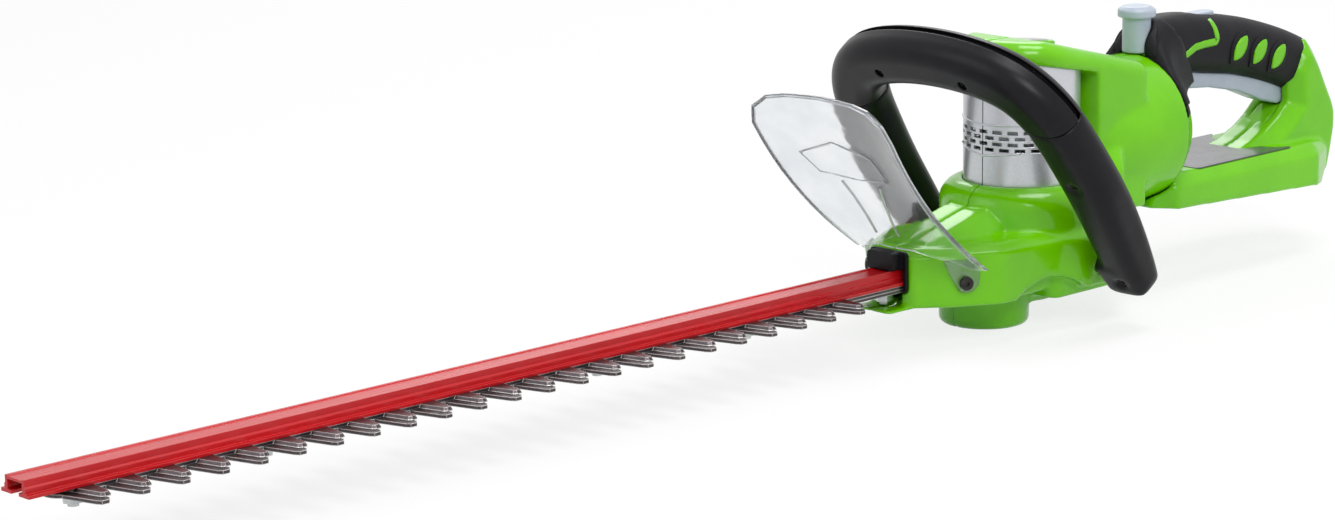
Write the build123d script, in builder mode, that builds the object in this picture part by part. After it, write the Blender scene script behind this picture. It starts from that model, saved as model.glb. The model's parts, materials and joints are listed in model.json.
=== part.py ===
"""Cordless hedge trimmer, built as the bench parts list that it would come apart into.

The frame: origin on the flat foot under the gear boss, below the motor axis; +X runs back to the
rear handle, so the cutting bar points along -X; +Y is the operator's right as seen from the front
of the bar; +Z is up.  Every length is in millimetres and every angle in degrees.
"""
import os
from math import acos, atan2, cos, pi, radians, sin, sqrt, tan

from build123d import *

os.makedirs("parts", exist_ok=True)

# ---------------------------------------------------------------- cutting deck
TEETH = 23                    # teeth along each side of both blades
TOOTH_PITCH = 24.0
FIRST_TOOTH_X = -703.0        # tip of the foremost lower tooth
BAR_FRONT_X = -733.0
BAR_REAR_X = -74.0
BAR_Z = 38.0                  # underside of the guide bar
BAR_HEIGHT = 8.9
BAR_WIDTH = 16.0
BAR_FLANGE_WIDTH = 23.6
BAR_WALL = 1.8
BAR_LEDGE = 0.8               # step half way up the side of the bar
BAR_SLOT_WIDTH = 6.4
BLADE_THICKNESS = 2.0
BLADE_GAP = 0.05              # running clearance on each face of a blade
BLADE_HALF_WIDTH = 11.6
LOWER_REACH = 32.5            # tip of a blunt lower finger, from the centre line
UPPER_REACH = 28.0            # tip of a sharp upper tooth
BEVEL_ANGLE = 34.0            # ground edge of an upper tooth
UPPER_REST_LEAD = 4.0         # how far the upper teeth stand behind the lower ones at rest
STROKE_IN = 2.0               # upper blade travel towards the tip from rest
STROKE_OUT = 10.0             # upper blade travel towards the handle from rest
BLADE_BOLTS = 6
BLADE_BOLT_PITCH = 115.5
FIRST_BLADE_BOLT_X = -700.0
BLADE_BOLT_R = 2.9
BLADE_BOLT_HEAD = 10.0
BLADE_BOLT_HEAD_HEIGHT = 4.0
BLADE_WASHER_R = 6.2
BLADE_WASHER_T = 1.0
BLADE_NUT_AF = 10.0
BLADE_NUT_T = 5.0
SLOT_CLEARANCE = 0.3

# ---------------------------------------------------------------- gear train
GEAR_TEETH = 42
PINION_TEETH = 6
GEAR_MODULE = 1.4
PRESSURE_ANGLE = 20.0
PROFILE_SHIFT = 0.45          # makes the small pinion's teeth stout
GEAR_TIP_CUT = 0.1
PINION_TIP_CUT = 0.4          # leaves a flat 0.6 mm wide on each of the six pointed teeth
BACKLASH = 0.30
GEAR_THICKNESS = 6.0
GEAR_CLEAR_Z = 1.0            # hub height between the cams and the gear
ECCENTRICITY = 6.0
CAM_R = 12.0
CAM_RUN = 0.3                 # clearance of the cams' sweep in the yoke windows
YOKE_RIM = 5.0
GEAR_SHAFT_R = 4.0
BEARING_R = 11.0              # 608 size: 8 x 22 x 7
BEARING_WIDTH = 7.0
LOWER_BEARING_Z = 16.0
CASE_TOP_Z = 57.0
CASE_FRONT_X = -92.0
CASE_HALF_WIDTH = 22.0
CASE_WALL = 5.0
CASE_FLOOR_Z = 33.0           # joint between the gear case and its cover
CASE_COVER_T = 4.0
CASE_SCREW_R = 1.9

# ---------------------------------------------------------------- motor
MOTOR_R = 22.0
MOTOR_CAN_WALL = 1.6
MOTOR_LENGTH = 66.0
ROTOR_SHAFT_R = 2.5
ARMATURE_R = 14.5
ARMATURE_LENGTH = 38.0
MAGNET_THICKNESS = 4.6
FAN_R = 24.0
FAN_HEIGHT = 10.0
MOTOR_BEARING_R = 6.5

# ---------------------------------------------------------------- housing
WALL = 3.0
FIT = 0.3                     # gap between pieces that do not touch
RUN = 0.06                    # running clearance of round parts
TALL = 240.0                  # longer than any cut through the body
DECK_BOTTOM_Z = 24.0
DECK_EDGE_Z = 55.0            # top of the deck's side walls
DECK_SHOULDER = 5.0           # rise of the slope above the side walls
SHOULDER_TAPER = 60.0
DECK_FRONT_X = -117.0
SUMP_BOTTOM_Z = 13.0
SUMP_HALF_WIDTH = 46.5
SUMP_FRONT_X = -22.0
SUMP_REAR_X = 40.0
FOOT_R = 27.5
FOOT_CHAMFER = 2.5
FAIRING_TAPER = 32.0
REST_RIB_REAR_X = 4.0
ARCH_X = -30.0
ARCH_R = 45.0
ARCH_TOP_Z = 34.0
ARCH_DEPTH_Y = 42.5
RIDGE_HALF_WIDTH = 15.0
SHOULDER_HALF_WIDTH = 38.0
DRUM_R = 50.0
DRUM_ROUND = 14.0
COVER_R = 35.5                # silver motor cover
COVER_REAR_X = 27.0
COVER_WALL = 2.5
COVER_BOTTOM_Z = 83.0
COVER_TOP_FRONT_Z = 162.5
COVER_TOP_REAR_Z = 149.5
VENT_Z = 112.0                # middle of the vent band
VENT_ROWS = 4
VENT_ROW_PITCH = 3.6
VENT_WIDTH = 6.2
VENT_HEIGHT = 2.1
VENT_ANGLE = 17.0
HOOD_R = 38.5
HOOD_ROUND = 9.0
HOOD_TOP_FRONT_Z = 172.0
HOOD_TOP_REAR_Z = 150.0
HOOD_REAR_X = 74.0
SWIVEL_Z = 101.0              # axis on which the rear handle turns
BELL_R = 46.5
BELL_FRONT_X = 34.0
BELL_REAR_X = 106.0
BELL_SWELL = 7.0
LIP_FRONT_X = -134.0          # thin lip that reaches under the blades
BORE_SCREW_R = 1.5            # plastic screws
SCREW_HEAD_R = 3.0
SCREW_BOSS_R = 4.6
WINDOW_X = 10.0               # dark window on top of the hood
WINDOW_LENGTH = 30.0
WINDOW_WIDTH = 12.0
BOOT_FRONT_X = -126.0
BOOT_BOTTOM_Z = 33.0
BOOT_TOP_Z = 58.0
BOOT_HALF_WIDTH = 10.6
BOOT_FLANGE_T = 2.2
BOOT_FLANGE_HALF_WIDTH = 14.6

# ---------------------------------------------------------------- swivel and rear handle
TUBE_R = 28.0
TUBE_BORE_R = 24.0
TUBE_FLANGE_R = 33.0
TUBE_LIP = 2.5                # rim behind the web that keeps the handle on the tube
TUBE_REAR_X = 120.2
WEB_X = 115.7                 # the handle's web that runs on the tube
WEB_T = 2.4
NOTCH_X = 112.0
NOTCH_DEPTH = 1.8
LOCK_GAP = 0.3
COLLAR_FRONT_X = BELL_REAR_X + FIT
COLLAR_FRONT_WALL = 2.0
SKIN_T = 2.0                  # soft overmould on the grip and the collar
GRIP_HEIGHT = 38.0
GRIP_WIDTH = 35.0
GRIP_CORNER = 15.0
GRIP_WALL = 2.6
GRIP_PATH = [(107.0, 145.0), (125.0, 149.0), (139.0, 149.5), (166.0, 146.5), (197.0, 141.5),
             (223.0, 135.0), (248.0, 127.0), (263.0, 121.0)]
BASE_HALF_WIDTH = 37.0
BASE_TOP_Z = 74.0
BAY_HALF_WIDTH = 30.0
BAY_FRONT_X = 130.0
BAY_REAR_X = 256.0
BAY_TOP_Z = 62.0
TRIGGER_PIVOT = (148.0, 125.5)
TRIGGER_HALF_WIDTH = 7.0
PIN_R = 2.0
KNOB_X = 109.0
KNOB_R = 9.0
KNOB_CAP_R = 12.0
KNOB_TOP_Z = 177.0
KNOB_FOOT_Z = 147.8
LOCK_PIN_R = 2.5
LOCK_SPRING_R = 3.6
COLLAR_SKIN_Z = 112.0         # the soft skin covers the collar above this height
PIN_HALF_LENGTH = 13.0
SPRING_EYE_R = 3.4
MAIN_SWITCH_X = 216.0
MAIN_SWITCH_Z = 136.0
BUTTON_LENGTH = 26.0
BUTTON_WIDTH = 11.0
BUTTON_FLANGE_Z = 152.0
BUTTON_TOP_Z = 168.5
LOZENGES = [(192.0, 142.0), (212.0, 137.0), (232.0, 131.5)]

# ---------------------------------------------------------------- front handle
HANDLE_LEAN = 34.6            # how far the loop leans towards the bar
HANDLE_FOOT = (8.0, 38.0)
HANDLE_WIDTH = 34.0
HANDLE_DEPTH = 29.0
HANDLE_CORNER = 12.0
LEG_END_WIDTH = 25.0          # the legs narrow towards their rounded feet
LEG_END_DEPTH = 22.0
LEG_END_CORNER = 9.5
LEG_TAPER_SHARE = 0.16        # share of the loop's length over which each leg narrows
HANDLE_WALL = 2.6
HANDLE_SPLIT = 121.0          # along the lean, where the legs meet the top shell
HANDLE_HALF = [(80.0, -16.0), (81.8, 18.0), (83.5, 60.0), (80.7, 97.0), (75.0, 124.5), (61.5, 144.0),
               (34.5, 155.5)]
HANDLE_TOP = 159.0
BAR_SWITCH_TRAVEL = 4.0
STUB_R = 16.0
STUB_Y = 57.0
STUB_SPOT = (6.0, 35.0)
HANDLE_BOLT_R = 2.5
HANDLE_BOLT_TIP_Y = 76.0
SHELL_RIM_N = 3.0             # how far the top shell reaches past the loop's middle plane
SPRING_SPOTS = [(50.0, 147.0), (-50.0, 147.0)]
SPRING_TIP_N = -7.4

# ---------------------------------------------------------------- hand guard
GUARD_T = 3.0
GUARD_SECTIONS = [(47.0, -106.3, -83.0, 50.0), (105.0, -143.9, -156.0, 54.0), (157.5, -178.0, -190.0, 56.0)]
GUARD_OUTLINE = [(0.0, 157.3), (26.0, 156.3), (40.0, 154.0), (51.0, 147.0), (55.0, 136.0), (53.8, 105.0),
                 (51.5, 70.0), (49.6, 47.6), (45.0, 47.6), (38.0, 52.0), (20.0, 57.0), (0.0, 58.0)]
GUARD_PANEL = [(35.0, 118.0), (28.0, 106.0), (0.0, 103.5), (-26.0, 106.0), (-20.0, 120.0), (8.0, 127.0)]
GUARD_SCREW_X = -92.0
GUARD_SCREW_Z = 39.4
GUARD_SCREW_R = 2.0
GUARD_TAB = [(-14.0, 15.0), (-9.0, 4.0), (-3.0, -5.5), (4.0, -5.5), (8.0, -2.0), (9.0, 6.0), (6.0, 15.0)]

DECK_PLAN = [(DECK_FRONT_X, 17.0), (-98.0, 33.0), (-71.0, 48.0), (-22.0, 51.0), (-8.0, 57.0),
             (28.0, 57.0), (44.0, 48.0), (62.0, 36.0), (70.0, 24.0)]
RIDGE_SIDE = [(DECK_FRONT_X + 1, DECK_BOTTOM_Z + 4), (DECK_FRONT_X + 1, 54.0), (-98.0, 62.0), (-54.0, 73.0),
              (-20.0, 76.0), (0.0, 76.0), (0.0, DECK_BOTTOM_Z + 4)]
SHOULDER_SIDE = [(-2.0, DECK_BOTTOM_Z + 8), (-2.0, COVER_BOTTOM_Z + 6), (24.0, 97.0), (40.0, 106.0),
                 (50.0, 106.0), (50.0, DECK_BOTTOM_Z + 8)]
HOOD_SIDE = [(-HOOD_R, COVER_TOP_FRONT_Z), (-HOOD_R, HOOD_TOP_FRONT_Z + 1.0), (-12.0, HOOD_TOP_FRONT_Z),
             (HOOD_REAR_X, HOOD_TOP_REAR_Z), (HOOD_REAR_X, 60.0), (COVER_REAR_X, 60.0),
             (COVER_REAR_X, COVER_TOP_REAR_Z)]

bar_top_z = BAR_Z + BAR_HEIGHT
upper_top_z = BAR_Z - BLADE_GAP
upper_bottom_z = upper_top_z - BLADE_THICKNESS
lower_top_z = upper_bottom_z - BLADE_GAP
lower_bottom_z = lower_top_z - BLADE_THICKNESS
stroke = STROKE_IN + STROKE_OUT
gear_x = -GEAR_MODULE * (GEAR_TEETH + PINION_TEETH) / 2


# ================================================================ cutting deck
def blade_bolt_spots(z):
    """Centres of the blade bolts at one level."""
    return [(FIRST_BLADE_BOLT_X + i * BLADE_BOLT_PITCH, 0, z) for i in range(BLADE_BOLTS)]


def bolt_slots(rest_shift):
    """The slots that let a blade slide past its bolts, in the blade's sketch."""
    length = stroke + 2 * BLADE_BOLT_R + 2 * SLOT_CLEARANCE
    with Locations(*[(x + rest_shift, 0) for x, _, _ in blade_bolt_spots(0)]):
        SlotOverall(length, 2 * BLADE_BOLT_R + 2 * SLOT_CLEARANCE, mode=Mode.SUBTRACT)


def yoke_sketch(window_x):
    """The plate around the cams, with the window that clears their sweep at every blade position."""
    sweep = CAM_R + ECCENTRICITY + CAM_RUN
    window_length = 2 * sweep + stroke
    with Locations((window_x, 0)):
        RectangleRounded(window_length + 2 * YOKE_RIM, 2 * (sweep + YOKE_RIM), 8)
    with Locations((window_x, 0)):
        RectangleRounded(window_length, 2 * sweep, 6, mode=Mode.SUBTRACT)


tooth_xs = [FIRST_TOOTH_X + i * TOOTH_PITCH for i in range(TEETH)]
blade_tip_x = FIRST_TOOTH_X - 14.0
blade_tail_x = gear_x - CAM_R - ECCENTRICITY - stroke / 2
yoke_travel = (STROKE_OUT - STROKE_IN) / 2

LOWER_FINGER = [(-10.0, -10.0), (-4.0, -30.0), (-2.2, -LOWER_REACH), (1.8, -LOWER_REACH),
                (3.8, -30.0), (1.6, -10.0)]
UPPER_TOOTH = [(-8.5, -8.0), (-3.2, -26.5), (-1.0, -UPPER_REACH), (1.8, -UPPER_REACH),
               (3.8, -25.5), (5.5, -8.0)]

with BuildPart() as lower_blade:
    with BuildSketch(Plane.XY.offset(lower_bottom_z)) as lower_plan:
        with Locations(((blade_tip_x + blade_tail_x) / 2, 0)):
            RectangleRounded(blade_tail_x - blade_tip_x, 2 * BLADE_HALF_WIDTH, BLADE_HALF_WIDTH - 1)
        with Locations(*[(x, 0) for x in tooth_xs]):
            Polygon(*LOWER_FINGER, align=None)
        mirror(about=Plane.XZ)
        yoke_sketch(gear_x + yoke_travel)
        bolt_slots(yoke_travel)
    extrude(amount=BLADE_THICKNESS)
lower_blade.part.label = "lower_blade"
export_step(lower_blade.part, "parts/lower_blade.step")

with BuildPart() as upper_tooth:
    with BuildSketch(Plane.XY.offset(upper_bottom_z)):
        Polygon(*UPPER_TOOTH, align=None)
    extrude(amount=BLADE_THICKNESS, taper=BEVEL_ANGLE)

with BuildPart() as upper_blade:
    with BuildSketch(Plane.XY.offset(upper_bottom_z)) as upper_plan:
        with Locations(((blade_tip_x + blade_tail_x) / 2 + UPPER_REST_LEAD, 0)):
            RectangleRounded(blade_tail_x - blade_tip_x - 4, 2 * BLADE_HALF_WIDTH, BLADE_HALF_WIDTH - 1)
        yoke_sketch(gear_x - yoke_travel)
        bolt_slots(-yoke_travel)
    extrude(amount=BLADE_THICKNESS)
    with Locations(*[(x + UPPER_REST_LEAD, 0, 0) for x in tooth_xs]):
        add(upper_tooth.part)
        add(upper_tooth.part.mirror(Plane.XZ))
upper_blade.part.label = "upper_blade"
export_step(upper_blade.part, "parts/upper_blade.step")

with BuildPart() as guide_bar:
    with BuildSketch(Plane.YZ.offset(BAR_FRONT_X)) as bar_section:
        with BuildLine():
            half_top = BAR_WIDTH / 2
            half_ledge = half_top + BAR_LEDGE
            half_flange = BAR_FLANGE_WIDTH / 2
            Polyline((0, BAR_Z), (half_flange, BAR_Z), (half_flange, BAR_Z + BAR_WALL),
                     (half_ledge, BAR_Z + BAR_WALL), (half_ledge, BAR_Z + BAR_HEIGHT / 2),
                     (half_top, BAR_Z + BAR_HEIGHT / 2 + BAR_LEDGE), (half_top, bar_top_z),
                     (half_top - 1.6, bar_top_z), (half_top - 2.2, bar_top_z - 0.6), (0, bar_top_z - 0.6))
            mirror(about=Plane.YZ)
        make_face()
        with Locations((0, BAR_Z + BAR_HEIGHT / 2)):
            Rectangle(BAR_WIDTH - 2 * BAR_WALL, BAR_HEIGHT - 2 * BAR_WALL, mode=Mode.SUBTRACT)
        with Locations((0, BAR_Z + BAR_WALL / 2)):
            Rectangle(BAR_SLOT_WIDTH, 2 * BAR_WALL, mode=Mode.SUBTRACT)
    extrude(amount=BAR_REAR_X - BAR_FRONT_X)
guide_bar.part.label = "guide_bar"
export_step(guide_bar.part, "parts/guide_bar.step")

nut_top_z = lower_bottom_z - BLADE_GAP - BLADE_WASHER_T
with BuildPart() as blade_bolts:
    with BuildSketch(Plane.XY.offset(BAR_Z + BAR_WALL)):
        with Locations(*[(x, 0) for x, _, _ in blade_bolt_spots(0)]):
            Rectangle(BLADE_BOLT_HEAD, BLADE_BOLT_HEAD)
    extrude(amount=BLADE_BOLT_HEAD_HEIGHT)
    with BuildSketch(Plane.XY.offset(BAR_Z + BAR_WALL)):
        with Locations(*[(x, 0) for x, _, _ in blade_bolt_spots(0)]):
            Circle(BLADE_BOLT_R)
    extrude(amount=-(BAR_Z + BAR_WALL - nut_top_z + BLADE_NUT_T + 2.0))
blade_bolts.part.label = "blade_bolts"
export_step(blade_bolts.part, "parts/blade_bolts.step")

with BuildPart() as blade_washers:
    with BuildSketch(Plane.XY.offset(nut_top_z)):
        with Locations(*[(x, 0) for x, _, _ in blade_bolt_spots(0)]):
            Circle(BLADE_WASHER_R)
            Circle(BLADE_BOLT_R, mode=Mode.SUBTRACT)
    extrude(amount=BLADE_WASHER_T)
blade_washers.part.label = "blade_washers"
export_step(blade_washers.part, "parts/blade_washers.step")

with BuildPart() as blade_nuts:
    with BuildSketch(Plane.XY.offset(nut_top_z)):
        with Locations(*[(x, 0) for x, _, _ in blade_bolt_spots(0)]):
            RegularPolygon(BLADE_NUT_AF / 2, 6, major_radius=False)
            Circle(BLADE_BOLT_R, mode=Mode.SUBTRACT)
    extrude(amount=-BLADE_NUT_T)
blade_nuts.part.label = "blade_nuts"
export_step(blade_nuts.part, "parts/blade_nuts.step")


# ================================================================ gear train
def involute_outline(teeth, shift, phase_deg, tip_cut):
    """Outline of a spur gear; phase_deg is the middle of one tooth, tip_cut shortens the teeth."""
    pitch_r = GEAR_MODULE * teeth / 2
    base_r = pitch_r * cos(radians(PRESSURE_ANGLE))
    tip_r = pitch_r + GEAR_MODULE * (1 + shift) - tip_cut
    root_r = pitch_r - GEAR_MODULE * (1.25 - shift)
    pressure = radians(PRESSURE_ANGLE)
    half_tooth = (pi / 2 + 2 * shift * tan(pressure)) / teeth - BACKLASH / (4 * pitch_r)

    def half_angle(r):
        """Half the tooth's angle at radius r."""
        if r <= base_r:
            return half_tooth + tan(pressure) - pressure
        local = acos(base_r / r)
        return half_tooth + (tan(pressure) - pressure) - (tan(local) - local)

    middle_r = (max(base_r, root_r) + tip_r) / 2
    radii = [root_r, max(base_r, root_r + 0.2), middle_r, tip_r]
    points = []
    for i in range(teeth):
        centre = radians(phase_deg) + 2 * pi * i / teeth
        rise = [(r, centre - half_angle(r)) for r in radii]
        fall = [(r, centre + half_angle(r)) for r in reversed(radii)]
        points += [(r * cos(a), r * sin(a)) for r, a in rise + fall]
    return points


lower_cam_top_z = lower_top_z
gear_bottom_z = upper_top_z + GEAR_CLEAR_Z
gear_top_z = gear_bottom_z + GEAR_THICKNESS
upper_bearing_z = gear_top_z + 1.0
gear_shaft_top_z = upper_bearing_z + BEARING_WIDTH
yoke_phase = acos(-yoke_travel / ECCENTRICITY)
gear_phase = 180.0 / GEAR_TEETH
cam_dx = ECCENTRICITY * cos(yoke_phase)
cam_dy = ECCENTRICITY * sin(yoke_phase)

with BuildPart() as drive_gear:
    with BuildSketch(Plane.XY.offset(gear_bottom_z)) as gear_plan:
        with Locations((gear_x, 0)):
            Polygon(*involute_outline(GEAR_TEETH, -PROFILE_SHIFT, gear_phase, GEAR_TIP_CUT), align=None)
            Circle(GEAR_SHAFT_R, mode=Mode.SUBTRACT)
    extrude(amount=GEAR_THICKNESS)
    with BuildSketch(Plane.XY.offset(upper_top_z)):
        with Locations((gear_x, 0)):
            Circle(8)
            Circle(GEAR_SHAFT_R, mode=Mode.SUBTRACT)
    extrude(amount=GEAR_CLEAR_Z)
    with BuildSketch(Plane.XY.offset(gear_top_z)):
        with Locations((gear_x, 0)):
            with PolarLocations(18, 6):
                Circle(5)
    extrude(amount=-GEAR_THICKNESS, mode=Mode.SUBTRACT)
drive_gear.part.label = "drive_gear"
export_step(drive_gear.part, "parts/drive_gear.step")

for cam_name, side, cam_z in (("upper_eccentric", 1, upper_bottom_z), ("lower_eccentric", -1, lower_bottom_z)):
    with BuildPart() as eccentric:
        with BuildSketch(Plane.XY.offset(cam_z)):
            with Locations((gear_x + side * cam_dx, side * cam_dy)):
                Circle(CAM_R)
            with Locations((gear_x, 0)):
                Circle(GEAR_SHAFT_R, mode=Mode.SUBTRACT)
        extrude(amount=BLADE_THICKNESS)
    eccentric.part.label = cam_name
    export_step(eccentric.part, f"parts/{cam_name}.step")

with BuildPart() as gear_shaft:
    with BuildSketch(Plane.XY.offset(LOWER_BEARING_Z)):
        with Locations((gear_x, 0)):
            Circle(GEAR_SHAFT_R)
    extrude(amount=gear_shaft_top_z - LOWER_BEARING_Z)
    chamfer(gear_shaft.edges().filter_by(GeomType.CIRCLE), 0.5)
    with BuildSketch(Plane.XY.offset(lower_bottom_z)):
        with Locations((gear_x, 0)):
            Circle(GEAR_SHAFT_R + 2.5)
    extrude(amount=-(lower_bottom_z - LOWER_BEARING_Z - BEARING_WIDTH))
gear_shaft.part.label = "gear_shaft"
export_step(gear_shaft.part, "parts/gear_shaft.step")

with BuildPart() as gear_bearings:
    for bearing_z in (LOWER_BEARING_Z, upper_bearing_z):
        with BuildSketch(Plane.XY.offset(bearing_z)):
            with Locations((gear_x, 0)):
                Circle(BEARING_R)
                Circle(GEAR_SHAFT_R + RUN, mode=Mode.SUBTRACT)
        extrude(amount=BEARING_WIDTH)
        with BuildSketch(Plane.XY.offset(bearing_z)):
            with Locations((gear_x, 0)):
                Circle(BEARING_R - 2)
                Circle(GEAR_SHAFT_R + 2, mode=Mode.SUBTRACT)
        extrude(amount=0.6, mode=Mode.SUBTRACT)
gear_bearings.part.label = "gear_bearings"
export_step(gear_bearings.part, "parts/gear_bearings.step")

gear_tip_r = GEAR_MODULE * (GEAR_TEETH / 2 + 1)
pinion_tip_r = GEAR_MODULE * (PINION_TEETH / 2 + 1 + PROFILE_SHIFT)
case_r = gear_tip_r + 1.5 + CASE_WALL
case_rear_r = 24.0
yoke_reach = 2 * (CAM_R + ECCENTRICITY + CAM_RUN) / 2 + stroke / 2 + YOKE_RIM + yoke_travel + STROKE_OUT
CASE_SCREWS = [(CASE_FRONT_X + 8, 17.7), (gear_x, case_r - CASE_WALL / 2), (14.0, 15.0)]
case_screw_spots = [(x, side * y) for x, y in CASE_SCREWS for side in (1, -1)]


def case_plan():
    """Plan of the gear case: round the gear and the pinion, with a straight nose over the bar."""
    with BuildSketch(mode=Mode.PRIVATE) as plan:
        with BuildSketch() as lobes:
            with Locations((gear_x, 0)):
                Circle(case_r)
            Circle(case_rear_r)
            make_hull()
        with Locations(((CASE_FRONT_X + gear_x) / 2, 0)):
            Rectangle(gear_x - CASE_FRONT_X, 2 * CASE_HALF_WIDTH)
    return plan.sketch


with BuildPart() as gear_case:
    with BuildSketch(Plane.XY.offset(CASE_FLOOR_Z)):
        add(case_plan())
    extrude(amount=CASE_TOP_Z - CASE_FLOOR_Z)
    with BuildSketch(Plane.XY.offset(CASE_FLOOR_Z)):            # channel for the blades' spines
        with Locations(((CASE_FRONT_X + gear_x) / 2, 0)):
            Rectangle(gear_x - CASE_FRONT_X + 2, 2 * (BLADE_HALF_WIDTH + 2))
    extrude(amount=bar_top_z - CASE_FLOOR_Z, mode=Mode.SUBTRACT)
    with BuildSketch(Plane.XY.offset(CASE_FLOOR_Z)):            # room for the yokes
        with Locations((gear_x, 0)):
            Rectangle(2 * yoke_reach, 2 * (CAM_R + ECCENTRICITY + YOKE_RIM + 1))
    extrude(amount=upper_top_z + 0.6 - CASE_FLOOR_Z, mode=Mode.SUBTRACT)
    with BuildSketch(Plane.XY.offset(CASE_FLOOR_Z)):            # room for the gear and the pinion
        with Locations((gear_x, 0)):
            Circle(gear_tip_r + 1.5)
        Circle(pinion_tip_r + 1.5)
    extrude(amount=gear_top_z + 1.0 - CASE_FLOOR_Z, mode=Mode.SUBTRACT)
    with BuildSketch(Plane.XY.offset(gear_top_z)):
        with Locations((gear_x, 0)):
            Circle(BEARING_R)
        Circle(MOTOR_BEARING_R + 1)
    extrude(amount=upper_bearing_z + BEARING_WIDTH - gear_top_z, mode=Mode.SUBTRACT)
    with BuildSketch(Plane.XY.offset(CASE_TOP_Z)):
        with Locations((gear_x, 0)):
            Circle(BEARING_R - 3)
        Circle(MOTOR_BEARING_R + 1)
    extrude(amount=-6, mode=Mode.SUBTRACT)
    with Locations(*[(x, y, CASE_FLOOR_Z) for x, y in case_screw_spots]):
        Cylinder(CASE_SCREW_R, 12, align=(Align.CENTER, Align.CENTER, Align.MIN), mode=Mode.SUBTRACT)
gear_case.part.label = "gear_case"
export_step(gear_case.part, "parts/gear_case.step")

with BuildPart() as gear_case_cover:
    with BuildSketch(Plane.XY.offset(CASE_FLOOR_Z)):
        add(case_plan())
    extrude(amount=-CASE_COVER_T)
    with BuildSketch(Plane.XY.offset(CASE_FLOOR_Z)):
        with Locations((gear_x, 0)):
            Circle(BEARING_R + 3)
    extrude(amount=-(CASE_FLOOR_Z - LOWER_BEARING_Z + 3))
    with BuildSketch(Plane.XY.offset(CASE_FLOOR_Z)):
        with Locations((gear_x, 0)):
            Circle(BEARING_R)
    extrude(amount=-(CASE_FLOOR_Z - LOWER_BEARING_Z), mode=Mode.SUBTRACT)
    with Locations(*[(x, y, CASE_FLOOR_Z - CASE_COVER_T) for x, y in case_screw_spots]):
        Cylinder(CASE_SCREW_R, 12, align=(Align.CENTER, Align.CENTER, Align.MIN), mode=Mode.SUBTRACT)
gear_case_cover.part.label = "gear_case_cover"
export_step(gear_case_cover.part, "parts/gear_case_cover.step")

with BuildPart() as gear_case_screws:
    with Locations(*[(x, y, CASE_FLOOR_Z - CASE_COVER_T) for x, y in case_screw_spots]):
        Cylinder(CASE_SCREW_R, 12, align=(Align.CENTER, Align.CENTER, Align.MIN))
        Cylinder(2 * CASE_SCREW_R, 1.6, align=(Align.CENTER, Align.CENTER, Align.MAX))
gear_case_screws.part.label = "gear_case_screws"
export_step(gear_case_screws.part, "parts/gear_case_screws.step")

# ================================================================ motor
motor_top_z = CASE_TOP_Z + MOTOR_LENGTH
armature_z = CASE_TOP_Z + 10
commutator_z = armature_z + ARMATURE_LENGTH + 2
END_CAP_T = 4.0
fan_z = motor_top_z + END_CAP_T + 1

with BuildPart() as pinion_gear:
    with BuildSketch(Plane.XY.offset(gear_bottom_z)):
        pinion_phase = 180.0
        Polygon(*involute_outline(PINION_TEETH, PROFILE_SHIFT, pinion_phase, PINION_TIP_CUT), align=None)
        Circle(ROTOR_SHAFT_R - 0.6, mode=Mode.SUBTRACT)
    extrude(amount=GEAR_THICKNESS)
pinion_gear.part.label = "pinion_gear"
export_step(pinion_gear.part, "parts/pinion_gear.step")

with BuildPart() as rotor_shaft:
    with BuildSketch(Plane.XY.offset(gear_bottom_z)):
        Circle(ROTOR_SHAFT_R - 0.6)
    extrude(amount=GEAR_THICKNESS)
    with BuildSketch(Plane.XY.offset(gear_top_z)):
        Circle(ROTOR_SHAFT_R)
    extrude(amount=fan_z + FAN_HEIGHT - gear_top_z)
    chamfer(rotor_shaft.faces().sort_by(Axis.Z)[-1].edges(), 0.4)
rotor_shaft.part.label = "rotor_shaft"
export_step(rotor_shaft.part, "parts/rotor_shaft.step")

with BuildPart() as armature_core:
    with BuildSketch(Plane.XY.offset(armature_z)):
        Circle(ARMATURE_R)
        with PolarLocations(ARMATURE_R - 4, 5):
            Circle(3.4, mode=Mode.SUBTRACT)
        with PolarLocations(ARMATURE_R - 1, 5):
            Rectangle(4, 1.6, mode=Mode.SUBTRACT)
        Circle(ROTOR_SHAFT_R, mode=Mode.SUBTRACT)
    extrude(amount=ARMATURE_LENGTH)
armature_core.part.label = "armature_core"
export_step(armature_core.part, "parts/armature_core.step")

with BuildPart() as commutator:
    with BuildSketch(Plane.XY.offset(commutator_z)):
        Circle(6.5)
        with PolarLocations(6.5, 10):
            Rectangle(1.2, 0.6, mode=Mode.SUBTRACT)
        Circle(ROTOR_SHAFT_R, mode=Mode.SUBTRACT)
    extrude(amount=9)
commutator.part.label = "commutator"
export_step(commutator.part, "parts/commutator.step")

with BuildPart() as cooling_fan:
    with BuildSketch(Plane.XY.offset(fan_z)):
        Circle(FAN_R)
        Circle(ROTOR_SHAFT_R, mode=Mode.SUBTRACT)
    extrude(amount=1.5)
    with BuildSketch(Plane.XY.offset(fan_z + 1.5)):
        with PolarLocations(FAN_R - 9, 9):
            Rectangle(14, 1.4, rotation=32)
        Circle(7)
        Circle(ROTOR_SHAFT_R, mode=Mode.SUBTRACT)
    extrude(amount=FAN_HEIGHT - 1.5)
cooling_fan.part.label = "cooling_fan"
export_step(cooling_fan.part, "parts/cooling_fan.step")

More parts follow.
